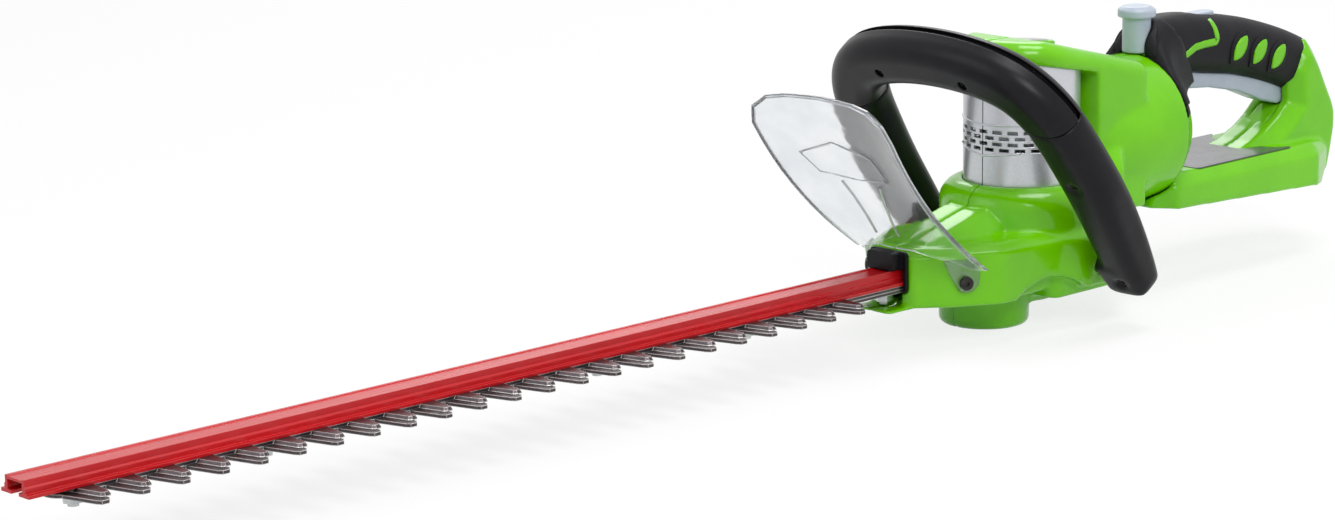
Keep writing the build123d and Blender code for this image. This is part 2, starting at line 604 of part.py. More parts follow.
with BuildPart() as motor_can:
    with BuildSketch(Plane.XY.offset(CASE_TOP_Z)):
        Circle(MOTOR_R)
    extrude(amount=MOTOR_LENGTH)
    with BuildSketch(Plane.XY.offset(motor_top_z)):
        Circle(MOTOR_R - MOTOR_CAN_WALL)
    extrude(amount=-(MOTOR_LENGTH - 5), mode=Mode.SUBTRACT)
    with BuildSketch(Plane.XY.offset(CASE_TOP_Z)):
        Circle(MOTOR_BEARING_R)
    extrude(amount=5, mode=Mode.SUBTRACT)
motor_can.part.label = "motor_can"
export_step(motor_can.part, "parts/motor_can.step")

with BuildPart() as motor_magnets:
    with BuildSketch(Plane.XY.offset(armature_z - 2)):
        Circle(MOTOR_R - MOTOR_CAN_WALL)
        Circle(MOTOR_R - MOTOR_CAN_WALL - MAGNET_THICKNESS, mode=Mode.SUBTRACT)
        Rectangle(3 * MOTOR_R, 14, mode=Mode.SUBTRACT)
    extrude(amount=ARMATURE_LENGTH + 4)
motor_magnets.part.label = "motor_magnets"
export_step(motor_magnets.part, "parts/motor_magnets.step")

with BuildPart() as motor_end_cap:
    with BuildSketch(Plane.XY.offset(motor_top_z)):
        Circle(MOTOR_R)
    extrude(amount=END_CAP_T)
    with BuildSketch(Plane.XY.offset(motor_top_z)):
        Circle(MOTOR_R - MOTOR_CAN_WALL)
        Circle(MOTOR_R - MOTOR_CAN_WALL - 3, mode=Mode.SUBTRACT)
    extrude(amount=-6)
    with BuildSketch(Plane.XY.offset(motor_top_z)):
        Circle(MOTOR_BEARING_R)
    extrude(amount=END_CAP_T, mode=Mode.SUBTRACT)
    with BuildSketch(Plane.XY.offset(motor_top_z)):             # brush boxes either side of the commutator
        with Locations((0, 12), (0, -12)):
            Rectangle(5, 9)
    extrude(amount=-(motor_top_z - commutator_z - 1))
motor_end_cap.part.label = "motor_end_cap"
export_step(motor_end_cap.part, "parts/motor_end_cap.step")

with BuildPart() as motor_bearings:
    for bearing_z, bearing_t in ((CASE_TOP_Z, 5.0), (motor_top_z, END_CAP_T)):
        with BuildSketch(Plane.XY.offset(bearing_z)):
            Circle(MOTOR_BEARING_R)
            Circle(ROTOR_SHAFT_R + RUN, mode=Mode.SUBTRACT)
        extrude(amount=bearing_t)
motor_bearings.part.label = "motor_bearings"
export_step(motor_bearings.part, "parts/motor_bearings.step")


# ================================================================ main housing
def both_sides(points):
    """Close a half outline over the centre line."""
    return points + [(x, -y) for x, y in reversed(points)]


def sloped_slab(profile, half_width, slope, taper, skin):
    """A side profile pushed out both ways from the middle, with sloping shoulders on each side."""
    with BuildPart(mode=Mode.PRIVATE) as slab:
        with BuildSketch(Plane.XZ) as outline:
            Polygon(*profile, align=None)
            if skin:
                offset(amount=-skin)
        extrude(amount=half_width - skin, both=True)
        for side in (1, -1):
            with BuildSketch(Plane.XZ.offset(side * (half_width - skin))):
                add(Plane.XZ.to_local_coords(outline.sketch.face()))
            extrude(amount=side * slope, taper=taper)
    return slab.part


def drum_form(skin):
    """The round shoulder that grows out of the deck about the motor."""
    with BuildPart(mode=Mode.PRIVATE) as drum:
        with BuildSketch(Plane.XZ):
            with BuildLine():
                r = DRUM_R - skin
                top_z = COVER_BOTTOM_Z + 2 - skin
                round_r = DRUM_ROUND - skin
                Line((0, DECK_BOTTOM_Z + 10), (r, DECK_BOTTOM_Z + 10))
                Line((r, DECK_BOTTOM_Z + 10), (r, top_z - round_r))
                RadiusArc((r, top_z - round_r), (r - round_r, top_z), -round_r)
                Line((r - round_r, top_z), (0, top_z))
                Line((0, top_z), (0, DECK_BOTTOM_Z + 10))
            make_face()
        revolve(axis=Axis.Z)
    return drum.part


def hood_form(skin):
    """The hood that stands behind the motor and reaches over it."""
    with BuildPart(mode=Mode.PRIVATE) as hood:
        with BuildSketch(Plane.XY):
            Circle(HOOD_R - skin)
            with Locations((HOOD_REAR_X / 2, 0)):
                Rectangle(HOOD_REAR_X, 2 * (HOOD_R - skin))
        extrude(amount=TALL)
        with BuildSketch(Plane.XZ):
            Polygon(*HOOD_SIDE, align=None)
            if skin:
                offset(amount=-skin)
        extrude(amount=TALL, both=True, mode=Mode.INTERSECT)
        if not skin:
            roof = hood.faces().filter_by(lambda f: f.normal_at().Z > 0.7)
            rim = [e for e in roof.edges() if abs(e.tangent_at(0.5).Y) < 0.999]
            fillet(rim, HOOD_ROUND)
    return hood.part


def bell_form(skin):
    """The round bell that carries the turning rear handle."""
    rim_r = BELL_R - skin
    front_x = BELL_FRONT_X + skin
    rim_x = BELL_REAR_X - skin
    with BuildPart(mode=Mode.PRIVATE) as bell:
        with BuildSketch(Plane.XZ):
            with BuildLine():
                Line((front_x, SWIVEL_Z), (front_x, SWIVEL_Z + rim_r - BELL_SWELL))
                ThreePointArc((front_x, SWIVEL_Z + rim_r - BELL_SWELL),
                              ((front_x + rim_x) / 2, SWIVEL_Z + rim_r - BELL_SWELL / 4),
                              (rim_x, SWIVEL_Z + rim_r))
                Line((rim_x, SWIVEL_Z + rim_r), (rim_x, SWIVEL_Z))
                Line((rim_x, SWIVEL_Z), (front_x, SWIVEL_Z))
            make_face()
        revolve(axis=Axis((0, 0, SWIVEL_Z), (1, 0, 0)))
    return bell.part


def sump_form(skin):
    """The gear sump under the deck, faired down to the round foot that the tool rests on."""
    fairing_top_z = ARCH_TOP_Z + 6
    with BuildPart(mode=Mode.PRIVATE) as sump:
        with BuildSketch(Plane.XY.offset(fairing_top_z)):
            with Locations((gear_x, 0)):
                Circle(FOOT_R + 10 - skin)
            with Locations((-8, 0)):
                Circle(SUMP_HALF_WIDTH - 2 - skin)
            make_hull()
        extrude(amount=-(fairing_top_z - SUMP_BOTTOM_Z - skin), taper=FAIRING_TAPER)
        with BuildSketch(Plane.XY.offset(SUMP_BOTTOM_Z + 5 + skin)):
            with Locations(((SUMP_REAR_X + SUMP_FRONT_X) / 2, 0)):
                RectangleRounded(SUMP_REAR_X - SUMP_FRONT_X - 2 * skin, 2 * (SUMP_HALF_WIDTH - skin), 8)
        extrude(amount=20 - 1.6 * skin)
        with BuildSketch(Plane.XY.offset(skin)):
            with Locations((gear_x, 0)):
                Circle(FOOT_R - skin)
        extrude(amount=fairing_top_z - 2 * skin)
        if not skin:
            chamfer(sump.faces().sort_by(Axis.Z)[0].edges(), FOOT_CHAMFER, FOOT_CHAMFER * 0.7)
    return sump.part


def plan_block(plan, grow, corner, bottom_z, top_z, shoulder, slope):
    """An upright block on a plan outline, with a sloping shoulder on top of it."""
    with BuildPart(mode=Mode.PRIVATE) as block:
        with BuildSketch(Plane.XY.offset(bottom_z)):
            Polygon(*both_sides(plan), align=None)
            fillet(vertices(), corner)
            if grow:
                offset(amount=grow)
        extrude(amount=top_z - bottom_z)
        if shoulder:
            for level, inset in ((top_z, 0.0), (top_z + shoulder, slope)):
                with BuildSketch(Plane.XY.offset(level)):
                    Polygon(*both_sides(plan), align=None)
                    fillet(vertices(), corner)
                    if grow - inset:
                        offset(amount=grow - inset)
            loft()
    return block.part


def side_arches(skin):
    """The round-headed recesses in the skirt, left and right."""
    with BuildPart(mode=Mode.PRIVATE) as arches:
        for side in (1, -1):
            with BuildSketch(Plane.XZ.offset(-side * (ARCH_DEPTH_Y - skin))):
                with Locations((ARCH_X, ARCH_TOP_Z - ARCH_R)):
                    Circle(ARCH_R + skin)
            extrude(amount=-side * 40)
    return arches.part


def housing_form(skin):
    """The main housing's whole outer form, shrunk by skin for its hollow."""
    skirt = plan_block(DECK_PLAN, -skin, 10, DECK_BOTTOM_Z + skin, DECK_EDGE_Z - 0.6 * skin,
                       DECK_SHOULDER - 0.4 * skin, 8)
    arches = side_arches(skin)
    blocks = [sloped_slab(RIDGE_SIDE, RIDGE_HALF_WIDTH, 9, 48, skin),
              sloped_slab(SHOULDER_SIDE, SHOULDER_HALF_WIDTH, 12, 45, skin), drum_form(skin),
              hood_form(skin), bell_form(skin), sump_form(skin)]
    with BuildPart(mode=Mode.PRIVATE) as form:
        add(skirt)
        add(arches, mode=Mode.SUBTRACT)
        for block in blocks:
            add(block)
    return form.part


def both_ways_screw(spot_x, spot_z, head_y, tip_y):
    """A plastic screw that runs across the joint: head towards +Y, tip towards -Y."""
    with BuildPart(mode=Mode.PRIVATE) as screw:
        with BuildSketch(Plane.XZ.offset(-head_y)):
            with Locations((spot_x, spot_z)):
                Circle(SCREW_HEAD_R)
        extrude(amount=2)
        with BuildSketch(Plane.XZ.offset(-head_y + 2)):
            with Locations((spot_x, spot_z)):
                Circle(BORE_SCREW_R)
        extrude(amount=head_y - 2 - tip_y)
        with BuildSketch(Plane.XZ.offset(-head_y)):
            with Locations((spot_x, spot_z)):
                Rectangle(4, 0.9)
                Rectangle(0.9, 4)
        extrude(amount=0.9, mode=Mode.SUBTRACT)
    return screw.part


def cross_bosses(spots, radius, half_length):
    """Round columns along Y at a list of (x, z) spots."""
    with BuildPart(mode=Mode.PRIVATE) as columns:
        with BuildSketch(Plane.XZ.offset(-half_length)):
            with Locations(*spots):
                Circle(radius)
        extrude(amount=2 * half_length)
    return columns.part


def screw_wells(spots, head_y, tip_y):
    """What the plastic screws take away: the shank's hole and the well over the head."""
    with BuildPart(mode=Mode.PRIVATE) as wells:
        with BuildSketch(Plane.XZ.offset(-TALL)):
            with Locations(*spots):
                Circle(SCREW_HEAD_R + 0.2)
        extrude(amount=TALL - head_y + 2)
        with BuildSketch(Plane.XZ.offset(-head_y)):
            with Locations(*spots):
                Circle(BORE_SCREW_R)
        extrude(amount=head_y - tip_y)
    return wells.part


def half_space(side):
    """A block that holds everything on one side of the centre plane."""
    with BuildPart(mode=Mode.PRIVATE) as block:
        with Locations((0, side * TALL, 0)):
            Box(6 * TALL, 2 * TALL, 4 * TALL)
    return block.part


def cover_plan(grow):
    """Plan of the motor cover: round, cut flat where the hood stands behind it."""
    with BuildSketch(mode=Mode.PRIVATE) as plan:
        Circle(COVER_R + grow)
        with Locations((COVER_REAR_X + grow, 0)):
            Rectangle(2 * COVER_R, 3 * COVER_R, align=(Align.MIN, Align.CENTER), mode=Mode.SUBTRACT)
    return plan.sketch


HOUSING_SCREWS = [(-104.0, 51.5), (32.0, 28.0), (52.0, 141.0), (64.0, 66.0), (94.0, 140.0)]
HOUSING_HEAD_Y = 12.0
HOUSING_TIP_Y = -10.0
drum_roof_z = COVER_BOTTOM_Z + 2
cover_foot_z = drum_roof_z - WALL - WALL
guard_wall_dir = (DECK_PLAN[2][0] - DECK_PLAN[1][0], DECK_PLAN[2][1] - DECK_PLAN[1][1])
guard_wall_length = sqrt(guard_wall_dir[0] ** 2 + guard_wall_dir[1] ** 2)
guard_screw_y = DECK_PLAN[1][1] + (GUARD_SCREW_X - DECK_PLAN[1][0]) * guard_wall_dir[1] / guard_wall_dir[0]


def guard_plane(side):
    """Plane on the deck's side wall at the guard screw, its normal pointing outwards."""
    return Plane(origin=(GUARD_SCREW_X, side * guard_screw_y, GUARD_SCREW_Z),
                 x_dir=(guard_wall_dir[0], side * guard_wall_dir[1], 0),
                 z_dir=(-guard_wall_dir[1] / guard_wall_length, side * guard_wall_dir[0] / guard_wall_length, 0))


housing_outer = housing_form(0)
housing_inner = housing_form(WALL)
housing_bosses = cross_bosses(HOUSING_SCREWS, SCREW_BOSS_R, 60)
housing_wells = screw_wells(HOUSING_SCREWS, HOUSING_HEAD_Y, HOUSING_TIP_Y)

with BuildPart() as housing_shell:
    add(housing_outer)
    add(housing_inner, mode=Mode.SUBTRACT)
    with BuildSketch(Plane.XY.offset(drum_roof_z - 1)):                  # collar round the motor cover
        add(cover_plan(FIT + WALL))
        add(cover_plan(FIT), mode=Mode.SUBTRACT)
    extrude(amount=22)
    with BuildSketch(Plane.XY.offset(WALL - 1)):                         # seat of the gear case's boss
        with Locations((gear_x, 0)):
            Circle(BEARING_R + 6)
            Circle(BEARING_R + 3, mode=Mode.SUBTRACT)
    extrude(amount=CASE_FLOOR_Z - CASE_COVER_T - WALL + 1)
    for side in (1, -1):                                                 # pads behind the guard screws
        with BuildSketch(guard_plane(side).offset(-9)):
            Circle(5)
        extrude(amount=8)
    add(housing_bosses)
    add(housing_outer, mode=Mode.INTERSECT)
    with BuildSketch(Plane.XY.offset(DECK_BOTTOM_Z - 1)):                # lip under the blades
        with Locations(((LIP_FRONT_X + DECK_FRONT_X + 4) / 2, 0)):
            RectangleRounded(DECK_FRONT_X + 4 - LIP_FRONT_X, 30, 3)
    extrude(amount=2)
    with Locations((REST_RIB_REAR_X, 0, 0)):                             # rest rib that runs back from the foot
        Box(REST_RIB_REAR_X - gear_x - FOOT_R + 6, 8, SUMP_BOTTOM_Z + 6, align=(Align.MAX, Align.CENTER, Align.MIN))

nose_slot_top_z = bar_top_z + 0.5
top_slope = atan2(HOOD_TOP_FRONT_Z - HOOD_TOP_REAR_Z, HOOD_REAR_X + 12.0)
window_plane = Plane(origin=(WINDOW_X, 0, HOOD_TOP_FRONT_Z - (WINDOW_X + 12.0) * tan(top_slope)),
                     x_dir=(cos(top_slope), 0, -sin(top_slope)), z_dir=(sin(top_slope), 0, cos(top_slope)))


def lozenge(length, width):
    """A pointed window outline in the sketch's own plane."""
    Polygon((-length / 2, 0), (-length / 5, width / 2), (length / 4, width / 2), (length / 2, 0),
            (length / 4, -width / 2), (-length / 5, -width / 2), align=None)
    fillet(vertices(), 1.5)


with BuildPart() as housing_cuts:
    with BuildSketch(Plane.XY.offset(cover_foot_z)):                     # round opening for the motor cover
        add(cover_plan(FIT))
    extrude(amount=30)
    with BuildSketch(Plane.XY.offset(drum_roof_z - WALL)):               # groove that holds its flange
        add(cover_plan(WALL))
    extrude(amount=-WALL)
    with BuildSketch(Plane.YZ.offset(DECK_FRONT_X - 30)):                # mouth for the bar and the blades
        with Locations((0, (BAR_Z - 5 + nose_slot_top_z) / 2)):
            Rectangle(BAR_FLANGE_WIDTH + 1.4, nose_slot_top_z - BAR_Z + 5)
    extrude(amount=60)
    with Locations((DECK_FRONT_X, 0, BAR_Z - 8)):                        # notch for the last blade bolt
        Box(10, 16, 12)
    with BuildSketch(Plane.YZ.offset(BELL_REAR_X - WALL - 1)):           # mouth of the bell
        with Locations((0, SWIVEL_Z)):
            Circle(TUBE_R)
    extrude(amount=WALL + 2)
    with BuildSketch(Plane.YZ.offset(COVER_REAR_X - 1)):                 # air and cable hole behind the motor
        with Locations((0, 130)):
            SlotOverall(40, 14)
    extrude(amount=6)
    with BuildSketch(Plane.XZ.offset(-60)):                              # holes for the front handle's bolts
        with Locations(STUB_SPOT):
            Circle(HANDLE_BOLT_R)
    extrude(amount=120)
    for side in (1, -1):
        with BuildSketch(guard_plane(side).offset(-8)):
            Circle(BORE_SCREW_R)
        extrude(amount=9)
    with BuildSketch(window_plane):
        lozenge(WINDOW_LENGTH, WINDOW_WIDTH)
    extrude(amount=-1.2)
    add(housing_wells)

left_space = half_space(1)
right_space = half_space(-1)

with BuildPart() as housing_left:
    add(housing_shell.part)
    add(housing_cuts.part, mode=Mode.SUBTRACT)
    add(left_space, mode=Mode.INTERSECT)
housing_left.part.label = "housing_left"
export_step(housing_left.part, "parts/housing_left.step")

with BuildPart() as housing_right:
    add(housing_shell.part)
    add(housing_cuts.part, mode=Mode.SUBTRACT)
    add(right_space, mode=Mode.INTERSECT)
housing_right.part.label = "housing_right"
export_step(housing_right.part, "parts/housing_right.step")

with BuildPart() as housing_screws:
    for screw_x, screw_z in HOUSING_SCREWS:
        add(both_ways_screw(screw_x, screw_z, HOUSING_HEAD_Y, HOUSING_TIP_Y))
housing_screws.part.label = "housing_screws"
export_step(housing_screws.part, "parts/housing_screws.step")

with BuildPart() as top_window:
    with BuildSketch(window_plane):
        lozenge(WINDOW_LENGTH, WINDOW_WIDTH)
    extrude(amount=-1.2)
top_window.part.label = "top_window"
export_step(top_window.part, "parts/top_window.step")

# ================================================================ motor cover and nose boot
cover_ceiling = [(-60.0, COVER_TOP_FRONT_Z + (60.0 - HOOD_R) * 13 / (COVER_REAR_X + HOOD_R)),
                 (-HOOD_R, COVER_TOP_FRONT_Z), (COVER_REAR_X, COVER_TOP_REAR_Z), (60.0, 142.9), (60.0, 60.0),
                 (-60.0, 60.0)]

with BuildPart() as motor_cover:
    with BuildSketch(Plane.XY.offset(cover_foot_z)):
        add(cover_plan(0))
    extrude(amount=100)
    with BuildSketch(Plane.XZ):
        Polygon(*cover_ceiling, align=None)
    extrude(amount=TALL, both=True, mode=Mode.INTERSECT)
    with BuildSketch(Plane.XY.offset(drum_roof_z - WALL)):
        add(cover_plan(WALL - FIT))
    extrude(amount=-WALL)
    with BuildSketch(Plane.XY.offset(cover_foot_z)):
        add(cover_plan(-COVER_WALL))
    extrude(amount=100, mode=Mode.SUBTRACT)
    for row in range(VENT_ROWS):
        vent_z = VENT_Z + (row - (VENT_ROWS - 1) / 2) * VENT_ROW_PITCH
        with Locations((0, 0, vent_z)):
            with PolarLocations(COVER_R, 15, start_angle=61 + (row % 2) * VENT_ANGLE / 2, angular_range=238):
                Box(8, VENT_WIDTH, VENT_HEIGHT, mode=Mode.SUBTRACT)
motor_cover.part.label = "motor_cover"
export_step(motor_cover.part, "parts/motor_cover.step")

with BuildPart() as nose_boot:
    with BuildSketch(Plane.YZ.offset(DECK_FRONT_X)):                       # flange against the deck
        with Locations((0, (BOOT_BOTTOM_Z + BOOT_TOP_Z) / 2)):
            RectangleRounded(2 * BOOT_FLANGE_HALF_WIDTH, BOOT_TOP_Z - BOOT_BOTTOM_Z, 3)
    extrude(amount=-BOOT_FLANGE_T)
    with BuildSketch(Plane.YZ.offset(BOOT_FRONT_X)):                       # bridge over the bar
        with Locations((0, (bar_top_z + BOOT_TOP_Z) / 2)):
            RectangleRounded(2 * BOOT_HALF_WIDTH, BOOT_TOP_Z - bar_top_z, 2.5)
    extrude(amount=DECK_FRONT_X - BOOT_FRONT_X)
    with BuildSketch(Plane.YZ.offset(BOOT_FRONT_X)):                       # gate that the bar passes
        with Locations((0, BOOT_BOTTOM_Z)):
            Rectangle(BAR_FLANGE_WIDTH + 1.0, 2 * (bar_top_z + 0.3 - BOOT_BOTTOM_Z))
    extrude(amount=DECK_FRONT_X - BOOT_FRONT_X, mode=Mode.SUBTRACT)
nose_boot.part.label = "nose_boot"
export_step(nose_boot.part, "parts/nose_boot.step")


# ================================================================ hand guard
def guard_sheet(shift, thickness):
    """The bent sheet, lofted through three bowed sections; shift moves it towards the bar."""
    with BuildPart(mode=Mode.PRIVATE) as sheet:
        for level, middle_x, side_x, half_width in GUARD_SECTIONS:
            with BuildSketch(Plane.XY.offset(level)):
                with BuildLine():
                    front = ThreePointArc((side_x - shift, -half_width - 4), (middle_x - shift, 0),
                                          (side_x - shift, half_width + 4))
                    back = ThreePointArc((side_x - shift + thickness, -half_width - 4),
                                         (middle_x - shift + thickness, 0),
                                         (side_x - shift + thickness, half_width + 4))
                    Line(front @ 0, back @ 0)
                    Line(front @ 1, back @ 1)
                make_face()
        loft()
    return sheet.part


guard_main = guard_sheet(0, GUARD_T)
guard_raised = guard_sheet(0.8, GUARD_T)
deck_keepout = plan_block(DECK_PLAN, FIT, 10, 20, DECK_EDGE_Z + FIT, DECK_SHOULDER, 8)
ridge_keepout = sloped_slab(RIDGE_SIDE, RIDGE_HALF_WIDTH, 9, 48, -FIT)
drum_keepout = drum_form(-FIT)

with BuildPart() as guard_front:
    with BuildSketch(Plane.YZ.offset(-260)):
        Polygon(*(GUARD_OUTLINE + [(-y, z) for y, z in reversed(GUARD_OUTLINE)]), align=None)
    extrude(amount=220)

with BuildPart() as guard_pad:
    with BuildSketch(Plane.YZ.offset(-260)):
        Polygon(*GUARD_PANEL, align=None)
        fillet(vertices(), 3)
    extrude(amount=220)
    add(guard_raised, mode=Mode.INTERSECT)

with BuildPart() as hand_guard:
    add(guard_main)
    add(guard_front.part, mode=Mode.INTERSECT)
    add(deck_keepout, mode=Mode.SUBTRACT)
    add(ridge_keepout, mode=Mode.SUBTRACT)
    add(drum_keepout, mode=Mode.SUBTRACT)
    add(guard_pad.part)
    for side in (1, -1):
        with BuildSketch(guard_plane(side)):
            Polygon(*[(t, -side * w) for t, w in GUARD_TAB], align=None)
        extrude(amount=GUARD_T - 0.4)
        with BuildSketch(guard_plane(side)):
            Circle(GUARD_SCREW_R)
        extrude(amount=GUARD_T, mode=Mode.SUBTRACT)
hand_guard.part.label = "hand_guard"
export_step(hand_guard.part, "parts/hand_guard.step")

with BuildPart() as guard_screws:
    for side in (1, -1):
        with BuildSketch(guard_plane(side).offset(GUARD_T - 0.4)):
            Circle(4)
        extrude(amount=2.4)
        with BuildSketch(guard_plane(side).offset(GUARD_T + 0.8)):
            RegularPolygon(1.6, 6)
        extrude(amount=1.4, mode=Mode.SUBTRACT)
        with BuildSketch(guard_plane(side).offset(GUARD_T - 0.4)):
            Circle(BORE_SCREW_R)
        extrude(amount=-(GUARD_T - 0.4 + 8))
guard_screws.part.label = "guard_screws"
export_step(guard_screws.part, "parts/guard_screws.step")

# ================================================================ front handle
lean = radians(HANDLE_LEAN)
handle_plane = Plane(origin=(HANDLE_FOOT[0], 0, HANDLE_FOOT[1]), x_dir=(0, 1, 0),
                     z_dir=(cos(lean), 0, sin(lean)))
handle_points = HANDLE_HALF + [(0.0, HANDLE_TOP)] + [(-y, s) for y, s in reversed(HANDLE_HALF)]


def handle_tube(inset):
    """The loop's section carried along its middle line, narrower at the feet of both legs."""
    foot_section = (LEG_END_DEPTH, LEG_END_WIDTH, LEG_END_CORNER)
    loop_section = (HANDLE_DEPTH, HANDLE_WIDTH, HANDLE_CORNER)
    stations = [(0.0, foot_section), (LEG_TAPER_SHARE, loop_section), (0.35, loop_section), (0.5, loop_section),
                (0.65, loop_section), (1.0 - LEG_TAPER_SHARE, loop_section), (1.0, foot_section)]
    with BuildPart(mode=Mode.PRIVATE) as tube:
        with BuildLine(handle_plane) as middle:
            Spline(*handle_points)
        path = middle.wires()[0]
        for share, (depth, width, corner) in stations:
            with BuildSketch(Plane(origin=path @ share, x_dir=handle_plane.z_dir, z_dir=path % share)):
                RectangleRounded(depth - 2 * inset, width - 2 * inset, corner - inset)
        sweep(path=path, multisection=True)
    return tube.part


def leg_feet():
    """The loop's outlines from the front and from the side, rounded at the feet of the legs."""
    foot_y, foot_s = HANDLE_HALF[0]
    half = LEG_END_WIDTH / 2 + 0.5
    half_depth = LEG_END_DEPTH / 2 + 0.5
    side_plane = Plane(origin=handle_plane.origin, x_dir=handle_plane.z_dir, z_dir=(0, -1, 0))
    with BuildPart(mode=Mode.PRIVATE) as feet:
        for side in (1, -1):
            with BuildSketch(handle_plane.offset(-TALL / 2)):
                with Locations((side * foot_y, foot_s)):
                    foot = Polygon((-half, 0), (half, 0), (half + 4, 40), (half + 40, 2 * TALL),
                                   (-half - 40, 2 * TALL), (-half - 4, 40), align=None)
                fillet(foot.vertices().sort_by(Axis.Z)[:2], LEG_END_CORNER)
            extrude(amount=TALL)
        with BuildSketch(side_plane):
            edge = Polygon((-half_depth, foot_s), (half_depth, foot_s), (half_depth + 4, foot_s + 40),
                           (half_depth + 40, 2 * TALL), (-half_depth - 40, 2 * TALL),
                           (-half_depth - 4, foot_s + 40), align=None)
            fillet(edge.vertices().sort_by(Axis.Z)[:2], LEG_END_CORNER - 1)
        extrude(amount=TALL, both=True, mode=Mode.INTERSECT)
    return feet.part


def handle_slab(s_from, s_to, n_from, n_to):
    """A block in the loop's own frame: s runs up the lean and n runs towards the operator."""
    with BuildPart(mode=Mode.PRIVATE) as slab:
        with BuildSketch(handle_plane.offset(n_from)):
            with Locations((0, (s_from + s_to) / 2)):
                Rectangle(TALL, s_to - s_from)
        extrude(amount=n_to - n_from)
    return slab.part


def handle_pins(spots, radius, n_from, n_to):
    """Round columns along the loop's normal."""
    with BuildPart(mode=Mode.PRIVATE) as pins:
        with BuildSketch(handle_plane.offset(n_from)):
            with Locations(*spots):
                Circle(radius)
        extrude(amount=n_to - n_from)
    return pins.part


skirt_inset = HANDLE_WALL + FIT
handle_outer = handle_tube(0)
handle_void = handle_tube(HANDLE_WALL)
switch_skirt = handle_tube(skirt_inset)
switch_void = handle_tube(skirt_inset + 1.6)
void_zone = handle_slab(-16 + HANDLE_WALL, TALL, -30, 30)
leg_zone = handle_slab(-40, HANDLE_SPLIT, -40, 40)
shell_zone = handle_slab(HANDLE_SPLIT, TALL, -40, SHELL_RIM_N)
bar_zone = handle_slab(HANDLE_SPLIT + FIT, TALL, SHELL_RIM_N + FIT + BAR_SWITCH_TRAVEL, 40)
skirt_zone = handle_slab(HANDLE_SPLIT + FIT, TALL, SHELL_RIM_N - 2, 40)
head_n = -HANDLE_DEPTH / 2 + 3.5
foot_head_n = -LEG_END_DEPTH / 2 + 2.5
top_screw_spots = [(33.0, 153.5), (-33.0, 153.5)]
leg_screw_spots = [(82.5, 79.0), (-82.5, 79.0)]
foot_screw_spots = [(80.5, -2.0), (-80.5, -2.0)]
leg_columns = handle_pins(leg_screw_spots + foot_screw_spots, SCREW_BOSS_R, -HANDLE_DEPTH / 2, 8)
top_columns = handle_pins(top_screw_spots, SCREW_BOSS_R, -HANDLE_DEPTH / 2, SHELL_RIM_N - 1)
leg_wells = [handle_pins(leg_screw_spots, SCREW_HEAD_R + 0.2, -30, head_n),
             handle_pins(leg_screw_spots, BORE_SCREW_R, head_n, 6),
             handle_pins(foot_screw_spots, SCREW_HEAD_R + 0.2, -30, foot_head_n),
             handle_pins(foot_screw_spots, BORE_SCREW_R, foot_head_n, 6)]
top_wells = [handle_pins(top_screw_spots, SCREW_HEAD_R + 0.2, -30, head_n),
             handle_pins(top_screw_spots, BORE_SCREW_R, head_n, SHELL_RIM_N - 2)]

with BuildPart() as handle_legs:
    add(handle_outer)
    with BuildSketch(Plane.XZ.offset(-HANDLE_HALF[0][0])):
        with Locations(STUB_SPOT):
            Circle(STUB_R)
    extrude(amount=HANDLE_HALF[0][0] - STUB_Y)
    with BuildSketch(Plane.XZ.offset(HANDLE_HALF[0][0])):
        with Locations(STUB_SPOT):
            Circle(STUB_R)
    extrude(amount=-(HANDLE_HALF[0][0] - STUB_Y))
    add(handle_void.intersect(void_zone), mode=Mode.SUBTRACT)
    add(leg_columns.intersect(handle_outer))
    add(leg_zone, mode=Mode.INTERSECT)
    add(leg_feet(), mode=Mode.INTERSECT)
    for well in leg_wells:
        add(well, mode=Mode.SUBTRACT)
    with BuildSketch(Plane.XZ.offset(-HANDLE_BOLT_TIP_Y)):
        with Locations(STUB_SPOT):
            Circle(HANDLE_BOLT_R)
    extrude(amount=2 * HANDLE_BOLT_TIP_Y, mode=Mode.SUBTRACT)

with BuildPart() as front_handle_leg_left:
    add(handle_legs.part)
    add(left_space, mode=Mode.INTERSECT)
front_handle_leg_left.part.label = "front_handle_leg_left"
export_step(front_handle_leg_left.part, "parts/front_handle_leg_left.step")

with BuildPart() as front_handle_leg_right:
    add(handle_legs.part)
    add(right_space, mode=Mode.INTERSECT)
front_handle_leg_right.part.label = "front_handle_leg_right"
export_step(front_handle_leg_right.part, "parts/front_handle_leg_right.step")

with BuildPart() as front_handle_top_shell:
    add(handle_outer)
    add(handle_void, mode=Mode.SUBTRACT)
    add(top_columns)
    add(shell_zone, mode=Mode.INTERSECT)
    for well in top_wells:
        add(well, mode=Mode.SUBTRACT)
front_handle_top_shell.part.label = "front_handle_top_shell"
export_step(front_handle_top_shell.part, "parts/front_handle_top_shell.step")

switch_spot = (0.0, HANDLE_TOP)
button_tip_n = SHELL_RIM_N - 2 - BAR_SWITCH_TRAVEL - 0.4
actuator = handle_pins([switch_spot], 4, SHELL_RIM_N - 2, HANDLE_DEPTH / 2 - 1)
spring_posts = handle_pins(SPRING_SPOTS, 2.4, 2, HANDLE_DEPTH / 2 - 1)

with BuildPart() as front_switch_bar:
    add(handle_outer.intersect(bar_zone))
    add(switch_skirt.intersect(skirt_zone))
    add(switch_void, mode=Mode.SUBTRACT)
    add(actuator)
    add(spring_posts)
front_switch_bar.part.label = "front_switch_bar"
export_step(front_switch_bar.part, "parts/front_switch_bar.step")

